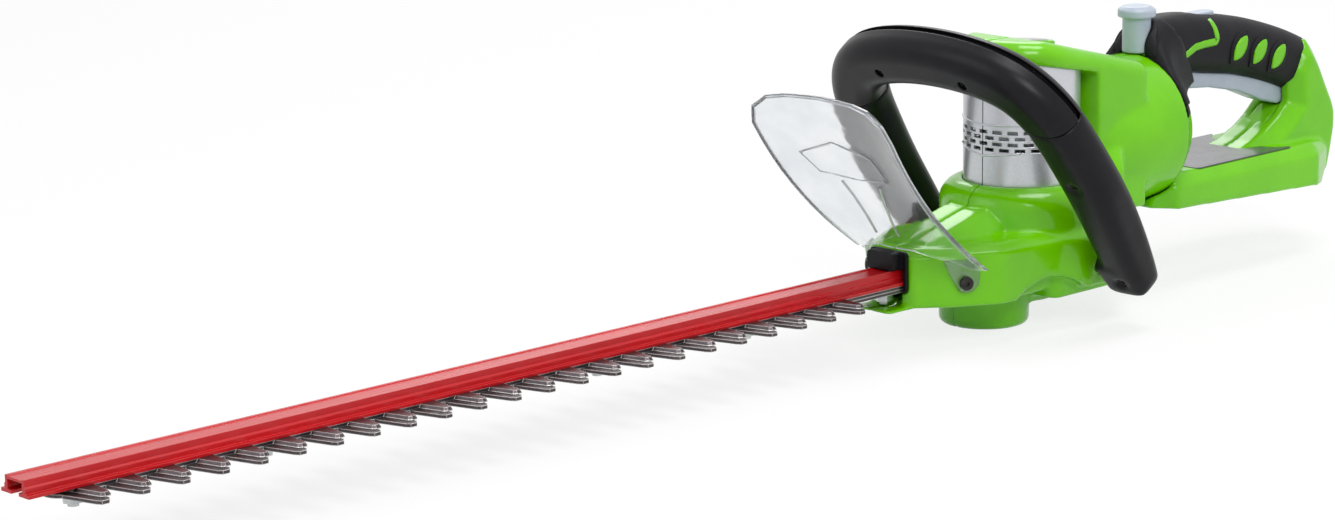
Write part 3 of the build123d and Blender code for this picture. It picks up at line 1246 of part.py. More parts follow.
with BuildPart() as front_switch:
    with BuildSketch(handle_plane.offset(-HANDLE_DEPTH / 2 + HANDLE_WALL)):
        with Locations(switch_spot):
            Rectangle(20, 10)
    extrude(amount=7)
    with BuildSketch(handle_plane.offset(-HANDLE_DEPTH / 2 + HANDLE_WALL + 7)):
        with Locations(switch_spot):
            Circle(2.5)
    extrude(amount=button_tip_n + HANDLE_DEPTH / 2 - HANDLE_WALL - 7)
front_switch.part.label = "front_switch"
export_step(front_switch.part, "parts/front_switch.step")


def zigzag_coil(spot_plane, inner_r, outer_r, length, turns):
    """A spring drawn as a pleated sleeve: one pleat for each turn of wire."""
    pitch = length / turns
    outer = []
    inner = []
    for i in range(turns):
        outer += [(outer_r - 0.5, i * pitch), (outer_r, (i + 0.5) * pitch)]
        inner += [(inner_r, i * pitch), (inner_r + 0.5, (i + 0.5) * pitch)]
    outer.append((outer_r - 0.5, length))
    inner.append((inner_r, length))
    axis_plane = Plane(origin=spot_plane.origin, x_dir=spot_plane.x_dir, z_dir=-spot_plane.y_dir)
    with BuildPart(mode=Mode.PRIVATE) as coil:
        with BuildSketch(axis_plane):
            Polygon(*(outer + inner[::-1]), align=None)
        revolve(axis=Axis(spot_plane.origin, spot_plane.z_dir))
    return coil.part


bar_spring_length = HANDLE_DEPTH / 2 - skirt_inset - 1.6 - FIT - SPRING_TIP_N
with BuildPart() as front_switch_springs:
    for spot_y, spot_s in SPRING_SPOTS:
        spring_origin = handle_plane.from_local_coords((spot_y, spot_s, SPRING_TIP_N))
        spring_plane = Plane(origin=spring_origin, x_dir=handle_plane.x_dir, z_dir=handle_plane.z_dir)
        add(zigzag_coil(spring_plane, 2.4, 3.6, bar_spring_length, 7))
front_switch_springs.part.label = "front_switch_springs"
export_step(front_switch_springs.part, "parts/front_switch_springs.step")

with BuildPart() as front_handle_screws:
    for spots, seat_n, tip_n in ((leg_screw_spots, head_n, 6), (foot_screw_spots, foot_head_n, 6),
                                 (top_screw_spots, head_n, SHELL_RIM_N - 2)):
        add(handle_pins(spots, SCREW_HEAD_R, seat_n - 2, seat_n))
        add(handle_pins(spots, BORE_SCREW_R, seat_n, tip_n))
        with BuildSketch(handle_plane.offset(seat_n - 2)):
            with Locations(*spots):
                Rectangle(4, 0.9)
                Rectangle(0.9, 4)
        extrude(amount=0.9, mode=Mode.SUBTRACT)
front_handle_screws.part.label = "front_handle_screws"
export_step(front_handle_screws.part, "parts/front_handle_screws.step")

with BuildPart() as front_handle_bolts:
    for side in (1, -1):
        with BuildSketch(Plane.XZ.offset(-side * (STUB_Y - WALL))):
            with Locations(STUB_SPOT):
                RegularPolygon(5, 6)
        extrude(amount=side * 3.5)
        with BuildSketch(Plane.XZ.offset(-side * (STUB_Y - WALL))):
            with Locations(STUB_SPOT):
                Circle(HANDLE_BOLT_R)
        extrude(amount=-side * (HANDLE_BOLT_TIP_Y - STUB_Y + WALL))
front_handle_bolts.part.label = "front_handle_bolts"
export_step(front_handle_bolts.part, "parts/front_handle_bolts.step")

# ================================================================ swivel
with BuildPart() as swivel_tube:
    with BuildSketch(Plane.YZ.offset(BELL_REAR_X - WALL - 6)):
        with Locations((0, SWIVEL_Z)):
            Circle(TUBE_FLANGE_R)
    extrude(amount=6)
    with BuildSketch(Plane.YZ.offset(BELL_REAR_X - WALL - 6)):
        with Locations((0, SWIVEL_Z)):
            Circle(TUBE_R)
    extrude(amount=TUBE_REAR_X - BELL_REAR_X + WALL + 6)
    with BuildSketch(Plane.YZ.offset(WEB_X + WEB_T + FIT)):
        with Locations((0, SWIVEL_Z)):
            Circle(TUBE_R + TUBE_LIP)
    extrude(amount=TUBE_REAR_X - WEB_X - WEB_T - FIT)
    with BuildSketch(Plane.YZ.offset(NOTCH_X - 3.2)):                    # detent notches, one each 45 degrees
        with Locations((0, SWIVEL_Z)):
            with PolarLocations(TUBE_R, 5, start_angle=0, angular_range=180):
                Rectangle(2 * NOTCH_DEPTH, 6.4, mode=Mode.ADD)
    extrude(amount=6.4, mode=Mode.SUBTRACT)
    with BuildSketch(Plane.YZ.offset(60)):
        with Locations((0, SWIVEL_Z)):
            Circle(TUBE_BORE_R)
    extrude(amount=80, mode=Mode.SUBTRACT)
swivel_tube.part.label = "swivel_tube"
export_step(swivel_tube.part, "parts/swivel_tube.step")

# ================================================================ rear handle
COLLAR_PROFILE = [(108.0, BELL_R - 2.5), (113.0, 41.5), (117.5, 39.0), (121.5, 35.5), (124.0, 32.0)]
BASE_PLAN = [(95.0, 24.0), (107.0, BASE_HALF_WIDTH), (252.0, BASE_HALF_WIDTH), (279.0, 24.0)]
BASE_SIDE = [(92.0, 52.7), (246.0, 46.0), (264.0, 44.5), (276.0, 53.0), (281.0, 66.0), (278.0, 71.0),
             (252.0, BASE_TOP_Z + 0.5), (92.0, BASE_TOP_Z + 0.5)]
COLUMN_SIDE = [(200.0, 50.0), (282.0, 39.0), (290.0, 48.0), (293.5, 61.0), (297.0, 77.0), (297.0, 89.0),
               (293.5, 98.0), (285.5, 111.5), (279.0, 123.0), (273.0, 131.5), (266.0, 138.5), (254.0, 134.0),
               (247.0, 119.0), (249.0, 99.0), (238.0, 90.0), (226.0, 83.0), (212.0, 77.5), (200.0, 74.5)]
COLUMN_HALF_WIDTH = 22.0
COLUMN_ROUNDING = 9.0         # how far the column's sides lean in, at 45 degrees
HUMP_CUT = [(90.0, 147.7), (COLLAR_FRONT_X, 147.7), (111.0, 158.5), (121.0, 169.5), (130.0, 180.0), (90.0, 180.0)]
TRIGGER_SIDE = [(141.0, 124.5), (149.0, 119.5), (175.0, 117.0), (206.0, 110.5), (230.0, 101.5), (247.0, 96.8),
                (255.5, 98.5), (258.5, 104.0), (256.0, 109.0), (223.0, 117.5), (197.0, 123.5), (166.0, 128.0),
                (152.0, 130.5), (143.0, 130.0)]
TRIGGER_SLOT = [(137.5, 108.0), (137.5, 136.0), (166.0, 133.0), (197.0, 128.5), (223.0, 123.0), (261.5, 116.0),
                (261.5, 92.0), (240.0, 86.0)]
LOCK_OFF_X = 170.0


def collar_form(skin, front_skin):
    """The round collar that meets the bell, shrunk by skin around and by front_skin at its face."""
    front_x = COLLAR_FRONT_X + front_skin
    rear_x = COLLAR_PROFILE[-1][0] - skin / 2
    rim = [(front_x, SWIVEL_Z), (front_x, SWIVEL_Z + BELL_R - skin)]
    rim += [(x - skin / 2, SWIVEL_Z + r - skin) for x, r in COLLAR_PROFILE]
    rim += [(rear_x, SWIVEL_Z)]
    with BuildPart(mode=Mode.PRIVATE) as collar:
        with BuildSketch(Plane.XZ):
            Polygon(*rim, align=None)
        revolve(axis=Axis((0, 0, SWIVEL_Z), (1, 0, 0)))
    return collar.part


def grip_form(inset):
    """The grip's section carried along its bent middle line, inset from the soft outer surface."""
    with BuildPart(mode=Mode.PRIVATE) as grip:
        with BuildLine(Plane.XZ) as middle:
            Spline(*GRIP_PATH)
        path = middle.wires()[0]
        with BuildSketch(Plane(origin=path @ 0, x_dir=(0, 1, 0), z_dir=path % 0)):
            RectangleRounded(GRIP_WIDTH - 2 * inset, GRIP_HEIGHT - 2 * inset, GRIP_CORNER - inset)
        sweep(path=path)
    return grip.part


def side_prism(points, half_width, grow=0.0):
    """A side outline pushed out evenly to both sides of the centre plane."""
    with BuildPart(mode=Mode.PRIVATE) as prism:
        with BuildSketch(Plane.XZ):
            Polygon(*points, align=None)
            if grow:
                offset(amount=grow)
        extrude(amount=half_width, both=True)
    return prism.part


def base_form(skin):
    """The broad base over the battery bay."""
    block = plan_block(BASE_PLAN, -skin, 3.5, 30.0, BASE_TOP_Z - 8.0, 8.0, 5.0)
    side = side_prism(BASE_SIDE, TALL, -skin)
    with BuildPart(mode=Mode.PRIVATE) as base:
        add(block)
        add(side, mode=Mode.INTERSECT)
        with BuildSketch(Plane.YZ.offset(60)):                           # clears the bell as it turns
            with Locations((0, SWIVEL_Z)):
                Circle(BELL_R + 1.0 + skin)
        extrude(amount=COLLAR_FRONT_X - 60 + (skin if skin else 0), mode=Mode.SUBTRACT)
    return base.part


collar_outer = collar_form(0, 0)
collar_under = collar_form(SKIN_T, 0)
collar_inner = collar_form(WALL + SKIN_T, COLLAR_FRONT_WALL)
grip_outer = grip_form(0)
grip_under = grip_form(SKIN_T)
grip_inner = grip_form(SKIN_T + GRIP_WALL)
base_outer = base_form(0)
base_inner = base_form(WALL)
lock_tip_z = SWIVEL_Z + TUBE_R + LOCK_GAP
well_floor_z = SWIVEL_Z + BELL_R - WALL - 3
column_flat = COLUMN_HALF_WIDTH - COLUMN_ROUNDING
column_outer = sloped_slab(COLUMN_SIDE, column_flat, COLUMN_ROUNDING, 45.0, 0)
column_inner = sloped_slab(COLUMN_SIDE, column_flat, COLUMN_ROUNDING, 45.0, WALL)
hump_cut = side_prism(HUMP_CUT, TALL)
trigger_slot = side_prism(TRIGGER_SLOT, TRIGGER_HALF_WIDTH + 0.5)
HANDLE_SCREWS = [(122.0, 62.0), (266.0, 60.0), (276.0, 98.0), (267.0, 125.0), (136.0, 141.0)]
HANDLE_HEAD_Y = 9.0
handle_bosses = cross_bosses(HANDLE_SCREWS, SCREW_BOSS_R - 0.4, 40)
handle_wells = screw_wells(HANDLE_SCREWS, HANDLE_HEAD_Y, -10.0)
pin_bosses = cross_bosses([TRIGGER_PIVOT], 4.5, 40)

with BuildPart() as upper_zone:
    with Locations((200, 0, COLLAR_SKIN_Z + TALL / 2)):
        Box(400, TALL, TALL)
with BuildPart() as rear_zone:
    with Locations((COLLAR_FRONT_X + COLLAR_FRONT_WALL + 150, 0, 100)):
        Box(300, TALL, TALL)

with BuildPart() as knob_well:
    with Locations((KNOB_X, 0, KNOB_FOOT_Z - FIT)):
        Cylinder(KNOB_R + FIT, 40, align=(Align.CENTER, Align.CENTER, Align.MIN))
    with Locations((NOTCH_X, 0, 130)):
        Cylinder(LOCK_PIN_R + RUN, 30, align=(Align.CENTER, Align.CENTER, Align.MIN))

with BuildPart() as button_slot:
    with BuildSketch(Plane.XY.offset(150)):
        with Locations((LOCK_OFF_X, 0)):
            SlotOverall(BUTTON_LENGTH + 2 * FIT, BUTTON_WIDTH + 2 * FIT)
    extrude(amount=30)

with BuildPart() as soft_solid:
    add(collar_outer.intersect(upper_zone.part))
    add(grip_outer)
    add(collar_under, mode=Mode.SUBTRACT)
    add(grip_under, mode=Mode.SUBTRACT)
    add(hump_cut, mode=Mode.SUBTRACT)
    with BuildSketch(Plane.YZ.offset(60)):
        Rectangle(TALL, 3 * TALL)
    extrude(amount=COLLAR_FRONT_X - 60, mode=Mode.SUBTRACT)

with BuildPart() as grip_overmould:
    add(soft_solid.part)
    add(trigger_slot, mode=Mode.SUBTRACT)
    add(knob_well.part, mode=Mode.SUBTRACT)
    add(button_slot.part, mode=Mode.SUBTRACT)
    with BuildSketch(Plane.XZ):
        for spot_x, spot_z in LOZENGES:
            with Locations((spot_x, spot_z)):
                Polygon((-9.5, -2), (-0.5, 7.5), (9, 2), (0, -7.5), align=None)
    extrude(amount=TALL, both=True, mode=Mode.SUBTRACT)
grip_overmould.part.label = "grip_overmould"
export_step(grip_overmould.part, "parts/grip_overmould.step")

with BuildPart() as rear_void:
    add(collar_inner)
    add(grip_inner)
    add(base_inner)
    add(column_inner)
    add(rear_zone.part, mode=Mode.INTERSECT)

with BuildPart() as rear_solid:
    add(collar_outer)
    add(grip_under)
    add(base_outer)
    add(column_outer)
    add(hump_cut, mode=Mode.SUBTRACT)
    add(soft_solid.part, mode=Mode.SUBTRACT)

with BuildPart() as rear_shell:
    add(rear_solid.part)
    add(rear_void.part, mode=Mode.SUBTRACT)
    with BuildSketch(Plane.YZ.offset(WEB_X)):                            # web that runs on the tube
        with Locations((0, SWIVEL_Z)):
            Circle(BELL_R - 1)
    extrude(amount=WEB_T)
    with Locations((KNOB_X, 0, SWIVEL_Z + BELL_R - WALL - 3)):           # well of the lock knob
        Cylinder(KNOB_R + 3, 22, align=(Align.CENTER, Align.CENTER, Align.MIN))
    with Locations((BAY_FRONT_X + 60, 0, BAY_TOP_Z + 1.2)):              # roof of the battery bay
        Box(2 * (BAY_REAR_X - BAY_FRONT_X), TALL, 2.4)
    with Locations((BAY_FRONT_X - 1.2, 0, BAY_TOP_Z - 20)):              # front wall of the battery bay
        Box(2.4, TALL, 40)
    with Locations((LOCK_OFF_X, 0, 137.2)):                              # floor under the lock-off spring
        Box(16, TALL, 2.4)
    with Locations((MAIN_SWITCH_X, 0, MAIN_SWITCH_Z)):                   # cradle of the main switch
        Box(26, TALL, 10)
    add(handle_bosses)
    add(pin_bosses)
    add(rear_solid.part, mode=Mode.INTERSECT)

with BuildPart() as rear_cuts:
    with BuildSketch(Plane.YZ.offset(COLLAR_FRONT_X - 1)):               # running bore on the tube
        with Locations((0, SWIVEL_Z)):
            Circle(TUBE_R + RUN)
    extrude(amount=WEB_X + WEB_T + 1 - COLLAR_FRONT_X)
    with BuildSketch(Plane.YZ.offset(WEB_X + WEB_T)):                    # room for the tube's end flange
        with Locations((0, SWIVEL_Z)):
            Circle(TUBE_R + TUBE_LIP + 1.0)
    extrude(amount=TUBE_REAR_X - WEB_X - WEB_T + 1)
    with Locations(((BAY_FRONT_X + BAY_REAR_X) / 2, 0, BAY_TOP_Z)):      # battery bay
        Box(BAY_REAR_X - BAY_FRONT_X, 2 * BAY_HALF_WIDTH, 40, align=(Align.CENTER, Align.CENTER, Align.MAX))
    with Locations((MAIN_SWITCH_X, 0, MAIN_SWITCH_Z)):
        Box(22, 14, 10)
    add(trigger_slot)
    add(knob_well.part)
    with BuildSketch(Plane.XY.offset(lock_tip_z)):                       # pocket of the lock pin's spring
        with Locations((NOTCH_X, 0)):
            Circle(LOCK_SPRING_R + 0.3)
    extrude(amount=well_floor_z - lock_tip_z)
    add(button_slot.part)
    add(handle_wells)
    with BuildSketch(Plane.XZ):
        with Locations(TRIGGER_PIVOT):
            Circle(PIN_R)
    extrude(amount=PIN_HALF_LENGTH, both=True)

with BuildPart() as rear_handle_body:
    add(rear_shell.part)
    add(rear_cuts.part, mode=Mode.SUBTRACT)
    for side in (1, -1):                                                 # rails of the battery bay
        with Locations(((BAY_FRONT_X + BAY_REAR_X) / 2, side * BAY_HALF_WIDTH, 52.5)):
            Box(BAY_REAR_X - BAY_FRONT_X - 12, 6, 2.5)

with BuildPart() as rear_handle_left:
    add(rear_handle_body.part)
    add(left_space, mode=Mode.INTERSECT)
rear_handle_left.part.label = "rear_handle_left"
export_step(rear_handle_left.part, "parts/rear_handle_left.step")

with BuildPart() as rear_handle_right:
    add(rear_handle_body.part)
    add(right_space, mode=Mode.INTERSECT)
rear_handle_right.part.label = "rear_handle_right"
export_step(rear_handle_right.part, "parts/rear_handle_right.step")

with BuildPart() as rear_handle_screws:
    for screw_x, screw_z in HANDLE_SCREWS:
        add(both_ways_screw(screw_x, screw_z, HANDLE_HEAD_Y, -10.0))
rear_handle_screws.part.label = "rear_handle_screws"
export_step(rear_handle_screws.part, "parts/rear_handle_screws.step")

# ================================================================ controls on the rear handle
with BuildPart() as trigger:
    with BuildSketch(Plane.XZ):
        Polygon(*TRIGGER_SIDE, align=None)
        fillet(vertices(), 1.2)
    extrude(amount=TRIGGER_HALF_WIDTH, both=True)
    outer_edges = trigger.faces().filter_by(Axis.Y).edges()
    chamfer(outer_edges, 0.8)
    with BuildSketch(Plane.XZ):
        with Locations(TRIGGER_PIVOT):
            Circle(PIN_R + RUN)
    extrude(amount=TRIGGER_HALF_WIDTH, both=True, mode=Mode.SUBTRACT)
    with BuildSketch(Plane.XZ):
        with Locations(TRIGGER_PIVOT):
            Circle(SPRING_EYE_R)
    extrude(amount=3.5, both=True, mode=Mode.SUBTRACT)
trigger.part.label = "trigger"
export_step(trigger.part, "parts/trigger.step")

with BuildPart() as trigger_pin:
    with BuildSketch(Plane.XZ):
        with Locations(TRIGGER_PIVOT):
            Circle(PIN_R)
    extrude(amount=PIN_HALF_LENGTH, both=True)
trigger_pin.part.label = "trigger_pin"
export_step(trigger_pin.part, "parts/trigger_pin.step")

pivot_plane = Plane(origin=(TRIGGER_PIVOT[0], -3.4, TRIGGER_PIVOT[1]), x_dir=(1, 0, 0), z_dir=(0, 1, 0))
with BuildPart() as trigger_spring:
    add(zigzag_coil(pivot_plane, PIN_R + 0.3, SPRING_EYE_R - 0.1, 6.8, 5))
trigger_spring.part.label = "trigger_spring"
export_step(trigger_spring.part, "parts/trigger_spring.step")

with BuildPart() as main_switch:
    with Locations((MAIN_SWITCH_X, 0, MAIN_SWITCH_Z)):
        Box(22, 14, 10)
    with Locations((MAIN_SWITCH_X - 5, 0, MAIN_SWITCH_Z - 6)):
        Box(5, 4, 2)
main_switch.part.label = "main_switch"
export_step(main_switch.part, "parts/main_switch.step")

with BuildPart() as lock_off_button:
    with BuildSketch(Plane.XY.offset(BUTTON_FLANGE_Z)):
        with Locations((LOCK_OFF_X, 0)):
            SlotOverall(BUTTON_LENGTH + 6, BUTTON_WIDTH + 5)
    extrude(amount=2.5)
    with BuildSketch(Plane.XY.offset(BUTTON_FLANGE_Z)):
        with Locations((LOCK_OFF_X, 0)):
            SlotOverall(BUTTON_LENGTH, BUTTON_WIDTH)
    extrude(amount=BUTTON_TOP_Z - BUTTON_FLANGE_Z)
    chamfer(lock_off_button.faces().sort_by(Axis.Z)[-1].edges(), 1.0)
lock_off_button.part.label = "lock_off_button"
export_step(lock_off_button.part, "parts/lock_off_button.step")

button_spring_z = 138.4
button_spring_plane = Plane(origin=(LOCK_OFF_X, 0, button_spring_z), x_dir=(1, 0, 0), z_dir=(0, 0, 1))
with BuildPart() as lock_off_spring:
    add(zigzag_coil(button_spring_plane, 3.0, 4.2, BUTTON_FLANGE_Z - button_spring_z, 6))
lock_off_spring.part.label = "lock_off_spring"
export_step(lock_off_spring.part, "parts/lock_off_spring.step")

with BuildPart() as rotation_lock:
    with BuildSketch(Plane.XY.offset(KNOB_FOOT_Z)):
        with Locations((KNOB_X, 0)):
            Circle(KNOB_R)
    extrude(amount=KNOB_TOP_Z - 6 - KNOB_FOOT_Z)
    with BuildSketch(Plane.XY.offset(KNOB_TOP_Z - 7)):
        with Locations((KNOB_X, 0)):
            Circle(KNOB_CAP_R)
    extrude(amount=7)
    chamfer(rotation_lock.faces().sort_by(Axis.Z)[-1].edges(), 2.2, 3.4)
    with BuildSketch(Plane.XY.offset(lock_tip_z)):
        with Locations((NOTCH_X, 0)):
            Circle(LOCK_PIN_R)
    extrude(amount=KNOB_FOOT_Z - lock_tip_z)
    with BuildSketch(Plane.XY.offset(lock_tip_z + 1)):
        with Locations((NOTCH_X, 0)):
            Circle(LOCK_SPRING_R)
    extrude(amount=1.2)
rotation_lock.part.label = "rotation_lock"
export_step(rotation_lock.part, "parts/rotation_lock.step")

lock_spring_z = lock_tip_z + 2.2
lock_spring_plane = Plane(origin=(NOTCH_X, 0, lock_spring_z), x_dir=(1, 0, 0), z_dir=(0, 0, 1))
with BuildPart() as rotation_lock_spring:
    add(zigzag_coil(lock_spring_plane, LOCK_PIN_R + 0.15, LOCK_SPRING_R, well_floor_z - lock_spring_z, 5))
rotation_lock_spring.part.label = "rotation_lock_spring"
export_step(rotation_lock_spring.part, "parts/rotation_lock_spring.step")

# ================================================================ battery bay
with BuildPart() as battery_terminal_block:
    with Locations((BAY_FRONT_X, 0, BAY_TOP_Z - 7)):
        Box(8, 34, 12, align=(Align.MIN, Align.CENTER, Align.CENTER))
    chamfer(battery_terminal_block.faces().sort_by(Axis.X)[-1].edges(), 1.0)
battery_terminal_block.part.label = "battery_terminal_block"
export_step(battery_terminal_block.part, "parts/battery_terminal_block.step")

with BuildPart() as battery_terminals:
    with Locations(*[(BAY_FRONT_X + 8, y, BAY_TOP_Z - 7) for y in (-12, -4, 4, 12)]):
        Box(11, 0.9, 7, align=(Align.MIN, Align.CENTER, Align.CENTER))
battery_terminals.part.label = "battery_terminals"
export_step(battery_terminals.part, "parts/battery_terminals.step")
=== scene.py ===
"""Looks of a cordless hedge trimmer, laid over its packed assembly.

Every piece of the assembly gets the finish that the real one has, the moulded pieces get their soft
edges, and the thin inlays, beads and labels that only the eye needs are built here.  Lengths are in
metres in the assembly's own frame: the origin is on the foot, +X runs back to the rear handle, and
+Z is up.  Sizes written in millimetres say so in their names.
"""
from __future__ import annotations

import json
import logging
import math
from dataclasses import dataclass, field
from enum import Enum

import bmesh
import bpy
from mathutils import Matrix, Vector
from mathutils.bvhtree import BVHTree

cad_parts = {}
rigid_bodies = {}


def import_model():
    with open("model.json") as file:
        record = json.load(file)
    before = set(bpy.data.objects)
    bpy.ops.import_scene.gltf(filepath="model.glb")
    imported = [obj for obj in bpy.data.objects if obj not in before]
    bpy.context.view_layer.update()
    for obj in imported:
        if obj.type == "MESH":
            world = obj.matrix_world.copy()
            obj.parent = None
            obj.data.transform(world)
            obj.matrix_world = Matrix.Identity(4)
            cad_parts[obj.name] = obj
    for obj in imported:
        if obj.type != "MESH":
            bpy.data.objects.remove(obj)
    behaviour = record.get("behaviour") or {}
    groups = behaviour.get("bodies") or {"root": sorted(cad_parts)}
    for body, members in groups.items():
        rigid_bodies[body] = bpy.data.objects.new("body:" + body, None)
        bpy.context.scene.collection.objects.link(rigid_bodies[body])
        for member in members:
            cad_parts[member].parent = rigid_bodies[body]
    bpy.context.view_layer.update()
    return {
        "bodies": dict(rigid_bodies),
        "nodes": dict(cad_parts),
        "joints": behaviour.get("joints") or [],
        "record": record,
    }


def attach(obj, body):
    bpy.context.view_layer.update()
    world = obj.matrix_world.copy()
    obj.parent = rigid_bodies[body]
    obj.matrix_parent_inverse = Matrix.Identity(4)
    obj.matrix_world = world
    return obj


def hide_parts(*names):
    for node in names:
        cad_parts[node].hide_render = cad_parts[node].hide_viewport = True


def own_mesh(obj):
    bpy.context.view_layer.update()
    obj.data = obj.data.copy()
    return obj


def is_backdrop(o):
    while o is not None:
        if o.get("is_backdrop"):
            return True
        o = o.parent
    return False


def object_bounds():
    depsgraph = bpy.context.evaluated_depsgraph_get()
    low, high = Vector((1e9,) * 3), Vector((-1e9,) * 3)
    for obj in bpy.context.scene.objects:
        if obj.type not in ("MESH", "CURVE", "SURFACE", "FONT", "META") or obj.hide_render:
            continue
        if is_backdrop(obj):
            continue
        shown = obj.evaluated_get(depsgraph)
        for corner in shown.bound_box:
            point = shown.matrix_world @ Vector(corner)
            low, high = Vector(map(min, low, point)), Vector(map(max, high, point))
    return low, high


log = logging.getLogger("hedge_trimmer")

Tree = bpy.types.NodeTree
Socket = bpy.types.NodeSocket
Piece = bpy.types.Object
Pair = tuple[float, float]
Triple = tuple[float, float, float]
Inputs = tuple[tuple[str, float], ...]

MM = 0.001
EVEN = (1.0, 1.0, 1.0)        # a pattern that is as dense along every axis
BEVEL_SAMPLES = 6             # rays with which a shader looks for an edge
GRAIN_DETAIL = 2.0            # layers of finer noise in a grain
PATCH_DETAIL = 4.0            # layers of finer noise in a patch
PATCH_ROUGHNESS = 0.6         # strength of those layers
PATCH_SPAN = (0.3, 0.7)       # the part of the noise that is spread over a patch's two values
FLAT_COSINE = 0.995           # above it the rounded and the true face point alike
EDGE_COSINE = 0.86            # below it the place is fully an edge
SMOOTHING = 0.5               # how far one pass of smoothing moves a corner
BREAK_STEPS = 3               # facets across a broken edge
WELD_MM = 0.002               # corners of an assembly piece this close are one
GRID_WELD_MM = 0.01           # corners of a grid this close are one


# ---------------------------------------------------------------- shader helpers
def linear(hex_colour: str) -> tuple[float, float, float, float]:
    """Turns an sRGB hex colour into linear light.

    Args:
        hex_colour: six hex digits, such as "7fd41c".

    Returns:
        Linear red, green, blue and an alpha of one.
    """
    channels = []
    for start in (0, 2, 4):
        value = int(hex_colour[start:start + 2], 16) / 255.0
        channels.append(value / 12.92 if value <= 0.04045 else ((value + 0.055) / 1.055) ** 2.4)
    return (channels[0], channels[1], channels[2], 1.0)


def add_node(tree: Tree, kind: str, values: dict | None = None,
             links: dict | None = None) -> bpy.types.Node:
    """Adds one shader node with its settings and its incoming links.

    Args:
        tree: the node tree that takes the node.
        kind: Blender's type name of the node.
        values: settings by property name, or constants by input name or index.
        links: output sockets by the input name or index that they feed.

    Returns:
        The new node.
    """
    node = tree.nodes.new(kind)
    for key, value in (values or {}).items():
        if isinstance(key, str) and hasattr(node, key):
            setattr(node, key, value)
        else:
            node.inputs[key].default_value = value
    for key, socket in (links or {}).items():
        tree.links.new(socket, node.inputs[key])
    return node


def relief(tree: Tree, place: Socket, grain_mm: float, height_mm: float, edge_mm: float,
           stretch: Triple) -> Socket:
    """Builds a fine surface grain on top of edges that are broken by a small radius.

    Args:
        tree: the material's node tree.
        place: the coordinates that carry the grain.
        grain_mm: distance from one grain to the next.
        height_mm: height of the grain.
        edge_mm: radius that breaks the edges.
        stretch: how much denser the grain is along each axis.

    Returns:
        The normal socket for a shader.
    """
    mapped = add_node(tree, "ShaderNodeMapping", {"Scale": stretch}, {"Vector": place})
    noise = add_node(tree, "ShaderNodeTexNoise", {"Scale": 1.0 / (grain_mm * MM), "Detail": GRAIN_DETAIL},
                     {"Vector": mapped.outputs["Vector"]})
    edge = add_node(tree, "ShaderNodeBevel", {"samples": BEVEL_SAMPLES, "Radius": edge_mm * MM})
    bump = add_node(tree, "ShaderNodeBump", {"Distance": height_mm * MM},
                    {"Height": noise.outputs["Fac"], "Normal": edge.outputs["Normal"]})
    return bump.outputs["Normal"]


def blotches(tree: Tree, place: Socket, patch_mm: float, low: float, high: float,
             stretch: Triple) -> Socket:
    """Makes a slowly changing value, for roughness or for mixing two tones.

    Args:
        tree: the material's node tree.
        place: the coordinates that carry the pattern.
        patch_mm: size of a patch.
        low: smallest value.
        high: largest value.
        stretch: how much denser the pattern is along each axis.

    Returns:
        The socket that holds the value.
    """
    mapped = add_node(tree, "ShaderNodeMapping", {"Scale": stretch}, {"Vector": place})
    noise = add_node(tree, "ShaderNodeTexNoise",
                     {"Scale": 1.0 / (patch_mm * MM), "Detail": PATCH_DETAIL, "Roughness": PATCH_ROUGHNESS},
                     {"Vector": mapped.outputs["Vector"]})
    spread = add_node(tree, "ShaderNodeMapRange",
                      {"From Min": PATCH_SPAN[0], "From Max": PATCH_SPAN[1], "To Min": low, "To Max": high},
                      {"Value": noise.outputs["Fac"]})
    return spread.outputs["Result"]


def ground_and_highlight_edge_mask(tree: Tree, width_mm: float) -> Socket:
    """Marks the sharp edges, where grinding brightens the blade and a painted highlight lightens the red
    bar.

    Args:
        tree: the material's node tree.
        width_mm: how far the mark reaches from an edge.

    Returns:
        A socket that is one on an edge and zero on a flat face.
    """
    rounded = add_node(tree, "ShaderNodeBevel", {"samples": BEVEL_SAMPLES, "Radius": width_mm * MM})
    plain = add_node(tree, "ShaderNodeNewGeometry")
    turn = add_node(tree, "ShaderNodeVectorMath", {"operation": "DOT_PRODUCT"},
                    {0: rounded.outputs["Normal"], 1: plain.outputs["Normal"]})
    mark = add_node(tree, "ShaderNodeMapRange", {"From Min": FLAT_COSINE, "From Max": EDGE_COSINE},
                    {"Value": turn.outputs["Value"]})
    return mark.outputs["Result"]


def mixed_tones(tree: Tree, amount: Socket, first_hex: str, second_hex: str) -> Socket:
    """Blends two colours by a value.

    Args:
        tree: the material's node tree.
        amount: zero for the first colour and one for the second.
        first_hex: the colour at zero.
        second_hex: the colour at one.

    Returns:
        The colour socket.
    """
    ramp = add_node(tree, "ShaderNodeValToRGB", {}, {"Fac": amount})
    ramp.color_ramp.elements[0].color = linear(first_hex)
    ramp.color_ramp.elements[1].color = linear(second_hex)
    return ramp.outputs["Color"]


def ground_and_highlight_edge_tone(tree: Tree, base: Socket, mark: Socket, edge_hex: str) -> Socket:
    """Lays an edge tone over a colour where a mark says so: ground metal on the blade, a painted highlight
    on the red bar.

    Args:
        tree: the material's node tree.
        base: the colour of the faces.
        mark: zero on a face and one on an edge.
        edge_hex: the colour of the edges.

    Returns:
        The colour socket.
    """
    mix = add_node(tree, "ShaderNodeMix", {"data_type": "RGBA"})
    tree.links.new(mark, mix.inputs[0])
    tree.links.new(base, mix.inputs[6])
    mix.inputs[7].default_value = linear(edge_hex)
    return mix.outputs[2]


